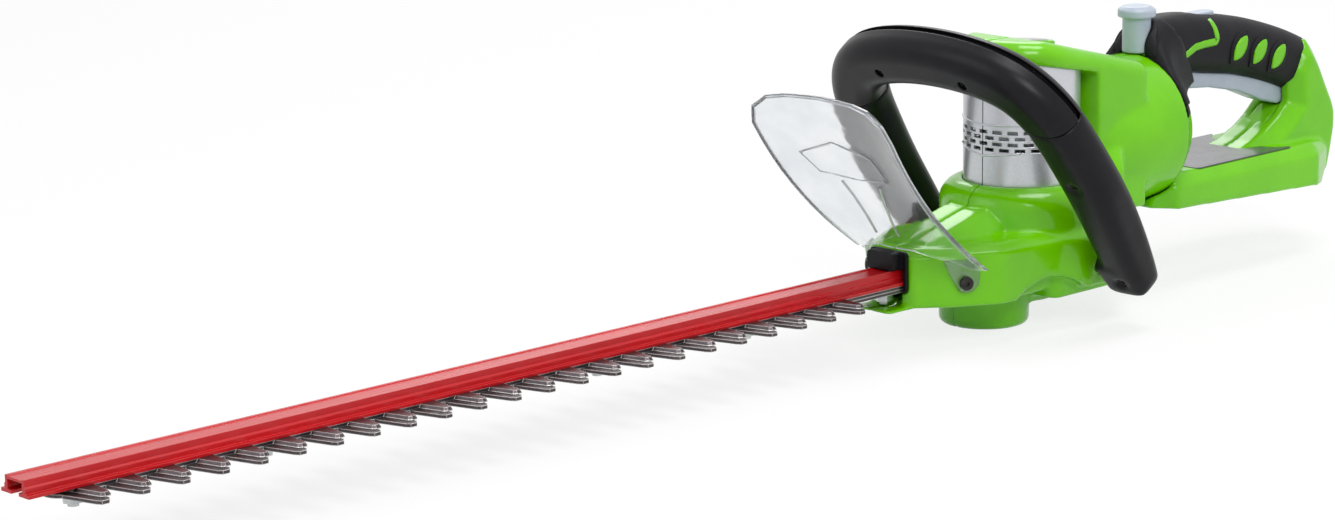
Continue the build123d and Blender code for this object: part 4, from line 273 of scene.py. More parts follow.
# ---------------------------------------------------------------- finishes
@dataclass(frozen=True)
class Finish:
    """Two tones in patches, a gloss that drifts, a fine grain and broken edges over one material.

    Each kind below is named for the real material and for the way its surface was made.
    """

    slot: str = ""
    tone_hex: str = ""
    second_hex: str = ""
    tone_mm: float = 10.0         # size of the patches of tone
    gloss_mm: float = 10.0        # size of the patches of gloss
    gloss: Pair = (0.3, 0.38)     # smallest and largest roughness
    grain_mm: float = 1.0         # distance from one grain to the next
    grain_height_mm: float = 0.01
    edge_mm: float = 0.5          # radius that breaks the edges
    stretches: tuple[Triple, ...] = (EVEN, EVEN, EVEN)     # of the tone, the gloss and the grain
    ground_and_highlight_edge_hex: str = ""             # tone of ground edges on the blade and of the painted edge highlight on the red bar
    ground_and_highlight_edge_mm: float = 0.5           # how far that tone reaches from an edge
    inputs: Inputs = ()           # the shader's own constants

    def tone_share(self, tree: Tree, place: Socket) -> Socket:
        """Spreads the second tone in slow patches."""
        return blotches(tree, place, self.tone_mm, 0.0, 1.0, self.stretches[0])

    def shade(self, tree: Tree, place: Socket) -> bpy.types.Node:
        """Builds the shader.

        Args:
            tree: the material's node tree.
            place: object coordinates in metres.

        Returns:
            The shader node.
        """
        tone = mixed_tones(tree, self.tone_share(tree, place), self.tone_hex, self.second_hex)
        # the edge tone is real ground metal on the blade and a painted highlight on the red bar
        if self.ground_and_highlight_edge_hex:
            tone = ground_and_highlight_edge_tone(tree, tone, ground_and_highlight_edge_mask(tree, self.ground_and_highlight_edge_mm), self.ground_and_highlight_edge_hex)
        gloss = blotches(tree, place, self.gloss_mm, *self.gloss, self.stretches[1])
        normal = relief(tree, place, self.grain_mm, self.grain_height_mm, self.edge_mm, self.stretches[2])
        return add_node(tree, "ShaderNodeBsdfPrincipled", dict(self.inputs),
                        {"Base Color": tone, "Roughness": gloss, "Normal": normal})

    def material(self) -> bpy.types.Material:
        """Makes the material of this finish.

        Returns:
            The new material, named for its slot.
        """
        material = bpy.data.materials.new(self.slot)
        material.use_nodes = True
        tree = material.node_tree
        tree.nodes.clear()
        place = add_node(tree, "ShaderNodeTexCoord").outputs["Object"]
        shader = self.shade(tree, place)
        add_node(tree, "ShaderNodeOutputMaterial", {}, {"Surface": shader.outputs["BSDF"]})
        return material


@dataclass(frozen=True)
class PolishMouldedAbs(Finish):
    """Lime ABS from a polished mould: wet-looking highlights over a very faint orange peel."""

    slot: str = "green_shell"
    tone_hex: str = "72c900"
    second_hex: str = "66ba00"
    tone_mm: float = 60.0
    gloss_mm: float = 18.0
    gloss: Pair = (0.13, 0.18)
    grain_mm: float = 5.0         # orange peel of a polished mould
    grain_height_mm: float = 0.012
    edge_mm: float = 2.2
    inputs: Inputs = (("IOR", 1.54), ("Specular IOR Level", 0.32),
                      ("Subsurface Weight", 0.06), ("Subsurface Scale", 0.002))


@dataclass(frozen=True)
class SparkTexturedNylon(Finish):
    """Black glass-filled nylon from a spark-eroded mould: a fine dry grain with soft grey sheen."""

    slot: str = "black_shell"
    tone_hex: str = "0f0e12"
    second_hex: str = "141318"
    tone_mm: float = 9.0
    gloss_mm: float = 25.0
    grain_mm: float = 0.8         # the real grain is finer and is drawn coarser so that it shows
    grain_height_mm: float = 0.035
    edge_mm: float = 1.0
    inputs: Inputs = (("IOR", 1.53), ("Specular IOR Level", 0.16))


@dataclass(frozen=True)
class SoftTouchElastomer(Finish):
    """Charcoal thermoplastic elastomer moulded over the grip: matt, with a velvety edge light."""

    slot: str = "soft_grip"
    tone_hex: str = "0e0d12"
    second_hex: str = "131217"
    tone_mm: float = 12.0
    gloss_mm: float = 22.0
    gloss: Pair = (0.5, 0.62)
    grain_mm: float = 1.1
    grain_height_mm: float = 0.03
    edge_mm: float = 1.2
    inputs: Inputs = (("IOR", 1.49), ("Specular IOR Level", 0.2),
                      ("Sheen Weight", 0.02), ("Sheen Roughness", 0.45))


@dataclass(frozen=True)
class FlakedSilverPaint(Finish):
    """Silver lacquer with aluminium flake on moulded ABS: a satin metal look with a clear top coat."""

    slot: str = "silver_cover"
    tone_hex: str = "c9cad1"
    second_hex: str = "d2d3d9"
    gloss_mm: float = 20.0
    grain_mm: float = 4.0
    edge_mm: float = 0.9
    inputs: Inputs = (("Metallic", 0.6), ("Coat Weight", 0.3), ("Coat Roughness", 0.12))
    flake_mm: float = 0.7         # real flakes are finer and are drawn coarser so that they show

    def tone_share(self, tree: Tree, place: Socket) -> Socket:
        """Gives each flake its own share of the second tone.

        Args:
            tree: the material's node tree.
            place: object coordinates in metres.

        Returns:
            The socket that holds the share.
        """
        flakes = add_node(tree, "ShaderNodeTexVoronoi", {"Scale": 1.0 / (self.flake_mm * MM)},
                          {"Vector": place})
        spark = add_node(tree, "ShaderNodeSeparateColor", {}, {"Color": flakes.outputs["Color"]})
        return spark.outputs["Red"]


@dataclass(frozen=True)
class SatinPolypropylene(Finish):
    """Blue-grey polypropylene controls from a stone-blasted mould: a soft even satin."""

    slot: str = "grey_control"
    tone_hex: str = "a3aebd"
    second_hex: str = "adb7c5"
    gloss_mm: float = 16.0
    grain_mm: float = 0.9
    grain_height_mm: float = 0.015
    edge_mm: float = 1.0
    inputs: Inputs = (("IOR", 1.49), ("Subsurface Weight", 0.05),
                      ("Subsurface Scale", 0.001))


@dataclass(frozen=True)
class SmokedPolycarbonate(Finish):
    """Smoked polycarbonate window with a hard coat: a black mirror-like lozenge."""

    slot: str = "dark_window"
    tone_hex: str = "0c0d10"
    second_hex: str = "15171b"
    tone_mm: float = 8.0
    gloss_mm: float = 14.0
    gloss: Pair = (0.06, 0.12)
    grain_mm: float = 6.0
    grain_height_mm: float = 0.004
    inputs: Inputs = (("IOR", 1.58), ("Coat Weight", 0.5), ("Coat Roughness", 0.04))


@dataclass(frozen=True)
class ClearPolycarbonate(Finish):
    """Clear moulded polycarbonate: see-through, faintly grey, with flow marks that bend the light."""

    slot: str = "clear_guard"
    tone_hex: str = "f4f6f8"
    second_hex: str = "e2e6ea"
    tone_mm: float = 30.0
    gloss_mm: float = 12.0
    gloss: Pair = (0.02, 0.07)
    grain_mm: float = 14.0        # melt flow waves, far apart and very low
    grain_height_mm: float = 0.02
    edge_mm: float = 0.8
    inputs: Inputs = (("IOR", 1.58), ("Transmission Weight", 0.96),
                      ("Specular IOR Level", 0.5))


@dataclass(frozen=True)
class RedEnamelledAluminium(Finish):
    """Extruded aluminium under red stove enamel: a deep gloss that still shows the drawn lines."""

    slot: str = "red_bar"
    tone_hex: str = "c60f18"
    second_hex: str = "ae0a12"
    tone_mm: float = 30.0
    gloss_mm: float = 12.0
    gloss: Pair = (0.22, 0.34)
    grain_mm: float = 1.2         # extrusion lines run along the bar
    edge_mm: float = 0.7
    stretches: tuple[Triple, ...] = ((0.2, 1.0, 1.0), (0.15, 1.0, 1.0), (0.02, 1.0, 1.0))
    # painted highlight: a lighter red laid along the bar's edges
    ground_and_highlight_edge_hex: str = "d8434a"
    inputs: Inputs = (("IOR", 1.5), ("Specular IOR Level", 0.3),
                      ("Coat Weight", 0.15), ("Coat Roughness", 0.15))


@dataclass(frozen=True)
class GroundBladeSteel(Finish):
    """Hardened blade steel, darkened by the quench and ground bright on its edges."""

    slot: str = "blade_steel"
    tone_hex: str = "443d40"
    second_hex: str = "585154"
    tone_mm: float = 9.0
    gloss_mm: float = 3.0
    gloss: Pair = (0.28, 0.45)
    grain_mm: float = 0.6         # grinding lines along the blade, drawn coarser so that they show
    grain_height_mm: float = 0.012
    edge_mm: float = 0.35
    stretches: tuple[Triple, ...] = ((0.4, 1.0, 1.0), (0.1, 1.0, 1.0), (0.03, 1.0, 1.0))
    ground_and_highlight_edge_hex: str = "d8d6d4"
    ground_and_highlight_edge_mm: float = 0.8
    inputs: Inputs = (("Metallic", 0.9),)


@dataclass(frozen=True)
class BareMetal(Finish):
    """A bare or plated metal whose tone, grain and gloss differ from one process to the next."""

    tone_mm: float = 5.0
    gloss_mm: float = 3.0
    gloss: Pair = (0.25, 0.4)
    edge_mm: float = 0.35
    inputs: Inputs = (("Metallic", 1.0),)


@dataclass(frozen=True)
class ZincPlatedSteel(BareMetal):
    """Zinc-plated screws and nuts: cool bright metal with faint cloudy passivation."""

    slot: str = "zinc_steel"
    tone_hex: str = "a3a7a9"
    second_hex: str = "cdd0cf"


@dataclass(frozen=True)
class HobbedGearSteel(BareMetal):
    """Hobbed and hardened gear steel: straw-grey with an oily shine."""

    slot: str = "gear_steel"
    tone_hex: str = "6d6a64"
    second_hex: str = "8e8a80"
    gloss: Pair = (0.18, 0.3)


@dataclass(frozen=True)
class DieCastAluminium(BareMetal):
    """Die-cast aluminium as it leaves the mould: dull grey with a mottled skin."""

    slot: str = "cast_case"
    tone_hex: str = "85878a"
    second_hex: str = "a4a6a8"
    gloss: Pair = (0.42, 0.6)
    grain_height_mm: float = 0.03
    edge_mm: float = 0.8


@dataclass(frozen=True)
class GalvanisedMotorCan(BareMetal):
    """Deep-drawn galvanised steel: pale metal with drawing marks along the can."""

    slot: str = "motor_steel"
    tone_hex: str = "9ca0a4"
    second_hex: str = "bec1c4"
    stretches: tuple[Triple, ...] = ((1.0, 1.0, 0.1),) * 3


@dataclass(frozen=True)
class DrawnCopperAlloy(BareMetal):
    """Drawn copper alloy of the commutator and terminals: warm metal with lengthwise lines."""

    slot: str = "copper_alloy"
    tone_hex: str = "a8672f"
    second_hex: str = "cf8f4e"
    stretches: tuple[Triple, ...] = ((0.2, 1.0, 0.2),) * 3


@dataclass(frozen=True)
class BlackSpringSteel(BareMetal):
    """Oil-blackened spring wire: nearly black with a soft shine."""

    slot: str = "spring_steel"
    tone_hex: str = "2d2c2b"
    second_hex: str = "454340"
    gloss: Pair = (0.3, 0.45)


@dataclass(frozen=True)
class SinteredFerrite(Finish):
    """Sintered ferrite magnets: charcoal ceramic, dry and slightly rough."""

    slot: str = "magnet"
    tone_hex: str = "2b2b2e"
    second_hex: str = "3b3b3f"
    tone_mm: float = 2.0
    gloss_mm: float = 4.0
    gloss: Pair = (0.6, 0.75)
    grain_mm: float = 0.7
    grain_height_mm: float = 0.03
    edge_mm: float = 0.3
    inputs: Inputs = (("IOR", 1.7),)


@dataclass(frozen=True)
class NaturalNylon(Finish):
    """Unpigmented moulded nylon: milky, a little see-through, with a satin skin."""

    slot: str = "nylon"
    tone_hex: str = "d9d5c6"
    second_hex: str = "e6e3d8"
    tone_mm: float = 6.0
    gloss: Pair = (0.35, 0.45)
    inputs: Inputs = (("IOR", 1.53), ("Subsurface Weight", 0.2),
                      ("Subsurface Scale", 0.002))


@dataclass(frozen=True)
class SatinVinylLabel(Finish):
    """Printed vinyl film, left plain: dark grey with a satin laminate over it."""

    slot: str = "label_film"
    tone_hex: str = "3a3b42"
    second_hex: str = "44454c"
    tone_mm: float = 25.0
    gloss_mm: float = 15.0
    gloss: Pair = (0.26, 0.36)
    grain_mm: float = 2.5
    grain_height_mm: float = 0.006
    edge_mm: float = 0.2
    inputs: Inputs = (("IOR", 1.5), ("Coat Weight", 0.3), ("Coat Roughness", 0.2))


class FinishShop:
    """Makes each finish once and hands it to every piece that asks for its slot."""

    def __init__(self) -> None:
        """Lists the finishes that this tool needs."""
        kinds = (PolishMouldedAbs, SparkTexturedNylon, SoftTouchElastomer, FlakedSilverPaint,
                 SatinPolypropylene, SmokedPolycarbonate, ClearPolycarbonate, RedEnamelledAluminium,
                 GroundBladeSteel, ZincPlatedSteel, HobbedGearSteel, DieCastAluminium,
                 GalvanisedMotorCan, DrawnCopperAlloy, BlackSpringSteel, SinteredFerrite,
                 NaturalNylon, SatinVinylLabel)
        self.finishes = {kind().slot: kind() for kind in kinds}
        self.materials: dict[str, bpy.types.Material] = {}

    def material(self, slot: str) -> bpy.types.Material:
        """Gives the material of one slot.

        Args:
            slot: the finish's slot name.

        Returns:
            The material, made on the first call.
        """
        if slot not in self.materials:
            self.materials[slot] = self.finishes[slot].material()
        return self.materials[slot]


# ---------------------------------------------------------------- mesh helpers
def piece_from_mesh(name: str, mesh: bpy.types.Mesh) -> Piece:
    """Puts a mesh into the scene as a new piece.

    Args:
        name: the piece's name.
        mesh: its finished mesh.

    Returns:
        The new object.
    """
    mesh.name = name
    piece = bpy.data.objects.new(name, mesh)
    bpy.context.scene.collection.objects.link(piece)
    return piece


def applied(piece: Piece) -> None:
    """Turns a piece's modifiers into its mesh.

    Args:
        piece: the object whose modifiers are applied.
    """
    bpy.context.view_layer.update()
    graph = bpy.context.evaluated_depsgraph_get()
    mesh = bpy.data.meshes.new_from_object(piece.evaluated_get(graph))
    piece.modifiers.clear()
    piece.data = mesh


def welded_mesh(source: Piece) -> bpy.types.Mesh:
    """Copies an assembly piece's mesh and joins the corners that its faces share.

    Args:
        source: the assembly piece.

    Returns:
        A closed copy of its mesh.
    """
    mesh = source.data.copy()
    form = bmesh.new()
    form.from_mesh(mesh)
    bmesh.ops.remove_doubles(form, verts=form.verts, dist=WELD_MM * MM)
    form.to_mesh(mesh)
    form.free()
    return mesh


def shell_from_grid(name: str, rows: list[list[Vector]], thickness_mm: float) -> Piece:
    """Turns a grid of points into a thin closed shell.

    Args:
        name: the new piece's name.
        rows: rows of points, all of the same length, in metres.
        thickness_mm: thickness of the shell, added on the inside.

    Returns:
        The new piece.
    """
    form = bmesh.new()
    grid = [[form.verts.new(point) for point in row] for row in rows]
    for row, after in zip(grid, grid[1:]):
        for index in range(len(row) - 1):
            form.faces.new((row[index], row[index + 1], after[index + 1], after[index]))
    bmesh.ops.remove_doubles(form, verts=form.verts, dist=GRID_WELD_MM * MM)
    mesh = bpy.data.meshes.new(name)
    form.to_mesh(mesh)
    form.free()
    piece = piece_from_mesh(name, mesh)
    wall = piece.modifiers.new("wall", "SOLIDIFY")
    wall.thickness = thickness_mm * MM
    wall.offset = -1.0
    applied(piece)
    piece.data.shade_smooth()
    return piece


def prism(name: str, outline: list[Pair], low: float, high: float, plane: str = "xz",
          edge_mm: float = 0.5) -> Piece:
    """Raises a flat outline into a closed block with broken edges.

    Args:
        name: the new piece's name.
        outline: corners in millimetres, in the plane's two axes.
        low: where the block starts on the third axis, in millimetres.
        high: where it ends.
        plane: "xz" for a block along y, "xy" for one along z.
        edge_mm: width of the broken edges.

    Returns:
        The new piece.
    """
    form = bmesh.new()
    rims = []
    for level in (low, high):
        places = [(a, level, b) if plane == "xz" else (a, b, level) for a, b in outline]
        rims.append([form.verts.new(Vector(place) * MM) for place in places])
    form.faces.new(rims[0])
    form.faces.new(rims[1])
    for index in range(len(outline)):
        after = (index + 1) % len(outline)
        form.faces.new((rims[0][index], rims[0][after], rims[1][after], rims[1][index]))
    bmesh.ops.recalc_face_normals(form, faces=form.faces)
    if edge_mm:
        bmesh.ops.bevel(form, geom=form.edges[:], offset=edge_mm * MM, segments=BREAK_STEPS,
                        profile=0.5, affect="EDGES", clamp_overlap=True)
    mesh = bpy.data.meshes.new(name)
    form.to_mesh(mesh)
    form.free()
    return piece_from_mesh(name, mesh)


class Workshop:
    """Everything that a sub-assembly needs to build and dress its pieces."""

    def __init__(self, frame: dict, shop: FinishShop) -> None:
        """Keeps the loaded frame and reads each node's body and slot from its record.

        Args:
            frame: what the frame loader returned.
            shop: the finishes.
        """
        record = frame["record"]
        self.nodes = frame["nodes"]
        self.shop = shop
        self.slots = {part["node"]: part["material_slot"] for part in record["subparts"]}
        self.bodies = {node: body for body, nodes in record["behaviour"]["bodies"].items()
                       for node in nodes}

    def dress(self, node: str, slot: str = "") -> None:
        """Gives an assembly node the finish of its slot, or another one.

        Args:
            node: the node's name.
            slot: another slot to take the finish from.
        """
        material = self.shop.material(slot or self.slots[node])
        for material_slot in self.nodes[node].material_slots:
            material_slot.material = material
        log.info("%s: %s", node, material.name)

    def add(self, piece: Piece, slot: str, body: str) -> Piece:
        """Dresses a new piece and lets it ride on its body.

        Args:
            piece: the new piece.
            slot: the slot of its finish.
            body: the body that it moves with.

        Returns:
            The same piece.
        """
        piece.data.materials.clear()
        piece.data.materials.append(self.shop.material(slot))
        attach(piece, body)
        log.info("%s: new piece on %s, %s", piece.name, body, slot)
        return piece

    def surface(self, node: str) -> BVHTree:
        """Gives an assembly node's surface for probing rays.

        Args:
            node: the node's name.

        Returns:
            The tree of its faces.
        """
        return BVHTree.FromObject(self.nodes[node], bpy.context.evaluated_depsgraph_get())

    def bead(self, name: str, points: list[Vector], radius_mm: float, slot: str, body: str,
             closed: bool = False) -> Piece:
        """Lays a thin round bead along a line of points.

        Args:
            name: the new piece's name.
            points: where the bead runs, in metres.
            radius_mm: radius of the bead.
            slot: the slot of its finish.
            body: the body that it moves with.
            closed: whether the bead ends where it starts.

        Returns:
            The new piece.
        """
        curve = bpy.data.curves.new(name, "CURVE")
        curve.dimensions = "3D"
        curve.bevel_depth = radius_mm * MM
        curve.bevel_resolution = BREAK_STEPS
        curve.use_fill_caps = not closed
        line = curve.splines.new("POLY")
        line.points.add(len(points) - 1)
        for point, place in zip(line.points, points):
            point.co = (*place, 1.0)
        line.use_cyclic_u = closed
        holder = bpy.data.objects.new(f"{name}_line", curve)
        bpy.context.scene.collection.objects.link(holder)
        bpy.context.view_layer.update()
        mesh = bpy.data.meshes.new_from_object(holder.evaluated_get(bpy.context.evaluated_depsgraph_get()))
        bpy.data.objects.remove(holder)
        piece = piece_from_mesh(name, mesh)
        piece.data.shade_smooth()
        return self.add(piece, slot, body)

    def softened(self, node: str, voxel_mm: float, passes: int) -> Piece:
        """Makes a moulded node's soft-edged twin, which is shown in its place.

        Args:
            node: the assembly node.
            voxel_mm: cell of the even mesh that the edges are rounded on.
            passes: how often the mesh is smoothed; more passes round the edges more.

        Returns:
            The new piece.
        """
        piece = piece_from_mesh(f"{node}_moulding", welded_mesh(self.nodes[node]))
        remesh = piece.modifiers.new("even", "REMESH")
        remesh.mode = "VOXEL"
        remesh.voxel_size = voxel_mm * MM
        smooth = piece.modifiers.new("soft", "SMOOTH")
        smooth.factor = SMOOTHING
        smooth.iterations = passes
        applied(piece)
        piece.data.shade_smooth()
        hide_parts(node)
        return self.add(piece, self.slots[node], self.bodies[node])


# ---------------------------------------------------------------- sub-assemblies
@dataclass
class SubAssembly:
    """Pieces that come off the bench together."""

    nodes: tuple[str, ...] = ()
    moulded_nodes: tuple[str, ...] = ()       # these are shown by a soft-edged twin
    blackened_and_painted_shade: tuple[str, ...] = ()           # these take the finish of blackened steel; on the front handle that black paints the shade of the screw recesses
    voxel_mm: float = 1.3
    passes: int = 8

    def dress(self, shop: Workshop) -> None:
        """Dresses the plain nodes.

        Args:
            shop: the workshop.
        """
        for node in self.nodes:
            shop.dress(node, "spring_steel" if node in self.blackened_and_painted_shade else "")

    def soften(self, shop: Workshop) -> None:
        """Dresses the moulded nodes and softens their edges.

        Args:
            shop: the workshop.
        """
        for node in self.moulded_nodes:
            shop.dress(node)
            self.shape(node, shop.softened(node, self.voxel_mm, self.passes))

    def shape(self, node: str, twin: Piece) -> None:
        """Shapes a node's soft-edged twin further, where a sub-assembly needs that."""

    def build(self, shop: Workshop) -> None:
        """Dresses and softens everything in the sub-assembly."""
        self.dress(shop)
        self.soften(shop)


@dataclass
class CuttingDeck(SubAssembly):
    """Guide bar, the two toothed blades and what bolts them together."""

    nodes: tuple[str, ...] = ("guide_bar", "upper_blade", "lower_blade", "blade_bolts", "blade_washers",
                              "blade_nuts")


@dataclass
class Drive(SubAssembly):
    """Gear case, gears, cams and the upright motor."""

    nodes: tuple[str, ...] = (
        "armature_core", "commutator", "cooling_fan", "drive_gear", "gear_bearings", "gear_case",
        "gear_case_cover", "gear_case_screws", "gear_shaft", "lower_eccentric", "motor_bearings",
        "motor_can", "motor_end_cap", "motor_magnets", "pinion_gear", "rotor_shaft", "upper_eccentric")


@dataclass
class Housing(SubAssembly):
    """The moulded body, its silver motor cover and the bell that the rear handle turns in."""

    nodes: tuple[str, ...] = ("housing_screws", "motor_cover", "top_window", "nose_boot", "swivel_tube")
    moulded_nodes: tuple[str, ...] = ("housing_left", "housing_right")
    lens_centre_mm: Pair = (9.0, 0.0)
    lens_half_mm: Pair = (15.0, 6.2)
    lens_shoulder: float = 0.55   # share of the half length where the lozenge is as wide as it gets
    lens_proud_mm: float = 0.3
    lens_lean_deg: float = 7.0
    frame_wall_mm: Pair = (4.8, 3.0)          # at the points and at the sides
    frame_span_mm: Pair = (160.0, 168.0)
    frame_edge_mm: float = 0.8
    probe: float = 0.09           # how far out the probing rays start
    seam_z_mm: tuple[float, ...] = (*range(84, 157, 6), 160)
    seam_mm: float = 0.25
    belts: tuple[tuple[str, float, float], ...] = (("cover_upper_belt", 121.5, 0.02),
                                                   ("cover_lower_belt", 102.5, 0.07))
    belt_mm: float = 0.7
    belt_half_deg: int = 80
    belt_step_deg: int = 4
    cover_r_mm: float = 30.0      # what lies nearer to the axis isn't the cover

    def build(self, shop: Workshop) -> None:
        """Dresses the housing and adds its window and the lines of its cover.

        Args:
            shop: the workshop.
        """
        super().build(shop)
        low, high = self.frame_span_mm
        shop.add(self.lozenge("window_frame", self.frame_wall_mm, low, high), "green_shell", "body")
        shop.add(self.lozenge("window_lens", (0.0, 0.0), low, high + self.lens_proud_mm), "dark_window",
                 "body")
        self.cover_lines(shop)

    def lozenge(self, name: str, grow: Pair, low: float, high: float) -> Piece:
        """Builds a leaning block with the window's pointed outline.

        Args:
            name: the new piece's name.
            grow: how much longer and wider than the lens it is on each side, in millimetres.
            low: where it starts, in millimetres.
            high: where it ends, in millimetres.

        Returns:
            The new piece.
        """
        x, y = self.lens_centre_mm
        half_x, half_y = self.lens_half_mm[0] + grow[0], self.lens_half_mm[1] + grow[1]
        shoulder = half_x * self.lens_shoulder
        outline = [(x - half_x, y), (x - shoulder, y - half_y), (x + shoulder, y - half_y),
                   (x + half_x, y), (x + shoulder, y + half_y), (x - shoulder, y + half_y)]
        block = prism(name, outline, low, high, "xy", self.frame_edge_mm)
        pivot = Vector((x, y, self.frame_span_mm[1])) * MM
        lean = Matrix.Rotation(math.radians(self.lens_lean_deg), 4, "Y")
        block.data.transform(Matrix.Translation(pivot) @ lean @ Matrix.Translation(-pivot))
        return block

    def cover_lines(self, shop: Workshop) -> None:
        """Lays the parting line and the two belt lines on the silver cover.

        Args:
            shop: the workshop.
        """
        shell = shop.surface("motor_cover")
        starts = [Vector((-self.probe, 0, z * MM)) for z in self.seam_z_mm]
        hits = [shell.ray_cast(start, Vector((1, 0, 0)))[0] for start in starts]
        shop.bead("cover_parting_line", [hit for hit in hits if hit is not None], self.seam_mm,
                  "black_shell", "body")
        for name, front_z, slope in self.belts:
            line = []
            for turn in range(-self.belt_half_deg, self.belt_half_deg + 1, self.belt_step_deg):
                angle = math.radians(turn)
                out = Vector((-math.cos(angle), math.sin(angle), 0))
                centre = Vector((0.0, 0.0, (front_z + slope * abs(turn)) * MM))
                hit = shell.ray_cast(centre + out * self.probe, -out)[0]
                if hit is not None and (hit - centre).length > self.cover_r_mm * MM:
                    line.append(hit)
            shop.bead(name, line, self.belt_mm, "silver_cover", "body")


@dataclass
class FrontHandle(SubAssembly):
    """The leaning loop, its switch bar and its screws."""

    nodes: tuple[str, ...] = ("front_handle_bolts", "front_handle_screws", "front_handle_top_shell",
                              "front_switch", "front_switch_bar", "front_switch_springs")
    moulded_nodes: tuple[str, ...] = ("front_handle_leg_left", "front_handle_leg_right")
    # painted shade: these screws are dressed black so that they read as the dark recesses they sit in
    blackened_and_painted_shade: tuple[str, ...] = ("front_handle_screws",)
    voxel_mm: float = 0.9
    passes: int = 10
    foot_top_mm: float = 16.0
    foot_fade_mm: float = 10.0
    foot_passes: int = 70

    def shape(self, node: str, twin: Piece) -> None:
        """Rounds the lower end of a leg much more than its other edges.

        Args:
            node: the leg; not used.
            twin: its soft-edged twin.
        """
        foot = twin.vertex_groups.new(name="foot")
        for vertex in twin.data.vertices:
            weight = (self.foot_top_mm * MM - vertex.co.z) / (self.foot_fade_mm * MM)
            if weight > 0:
                foot.add([vertex.index], min(weight, 1.0), "REPLACE")
        smooth = twin.modifiers.new("foot", "SMOOTH")
        smooth.factor = SMOOTHING
        smooth.iterations = self.foot_passes
        smooth.vertex_group = "foot"
        material = twin.data.materials[0]
        applied(twin)
        twin.data.materials.clear()
        twin.data.materials.append(material)
        twin.data.shade_smooth()


@dataclass
class HandGuard(SubAssembly):
    """The clear guard, its rolled edge, its plain panel and its screws."""

    nodes: tuple[str, ...] = ("hand_guard", "guard_screws")
    blackened_and_painted_shade: tuple[str, ...] = ("guard_screws",)
    outline_mm: tuple[Pair, ...] = ((49.0, 50.0), (51.0, 70.0), (53.0, 105.0), (54.2, 136.0),
                                    (50.2, 146.3), (39.6, 153.2), (26.0, 155.5), (0.0, 156.5))
    bead_mm: float = 1.2
    panel_mm: tuple[Pair, ...] = ((35, 118), (28, 106), (0, 103.5), (-26, 106), (-20, 120), (8, 127))
    frame_mm: float = 0.6
    rib_mm: tuple[Pair, ...] = ((15.0, 101.0), (12.0, 92.0), (9.5, 78.0), (8.5, 64.0))
    rib_radius_mm: float = 0.9
    steps: int = 4                # points laid between two corners of a line
    reach: float = 0.35           # how far in front of the sheet the probing rays start

    def on_sheet(self, sheet: BVHTree, line: list[Pair]) -> list[Vector]:
        """Drops a line of points onto the sheet's front face.

        Args:
            sheet: the guard's surface.
            line: corners of the line as (y, z) in millimetres.

        Returns:
            Points on the sheet, in metres.
        """
        points = []
        for (y_from, z_from), (y_to, z_to) in zip(line, line[1:]):
            for step in range(self.steps):
                share = step / self.steps
                y = (y_from + (y_to - y_from) * share) * MM
                z = (z_from + (z_to - z_from) * share) * MM
                hit = sheet.ray_cast(Vector((-self.reach, y, z)), Vector((1, 0, 0)))[0]
                if hit is not None:
                    points.append(hit)
        return points

    def build(self, shop: Workshop) -> None:
        """Dresses the guard and lays its rolled edge, panel frame and ribs on it.

        Args:
            shop: the workshop.
        """
        super().build(shop)
        sheet = shop.surface("hand_guard")
        half = list(self.outline_mm)
        edge = self.on_sheet(sheet, half + [(-y, z) for y, z in reversed(half[:-1])])
        shop.bead("guard_edge_bead", edge, self.bead_mm, "clear_guard", "body")
        panel = self.on_sheet(sheet, list(self.panel_mm) + [self.panel_mm[0]])
        shop.bead("guard_panel_frame", panel[:-1], self.frame_mm, "clear_guard", "body", closed=True)
        for side, word in ((1, "left"), (-1, "right")):
            rib = self.on_sheet(sheet, [(side * y, z) for y, z in self.rib_mm])
            shop.bead(f"guard_rib_{word}", rib, self.rib_radius_mm, "clear_guard", "body")


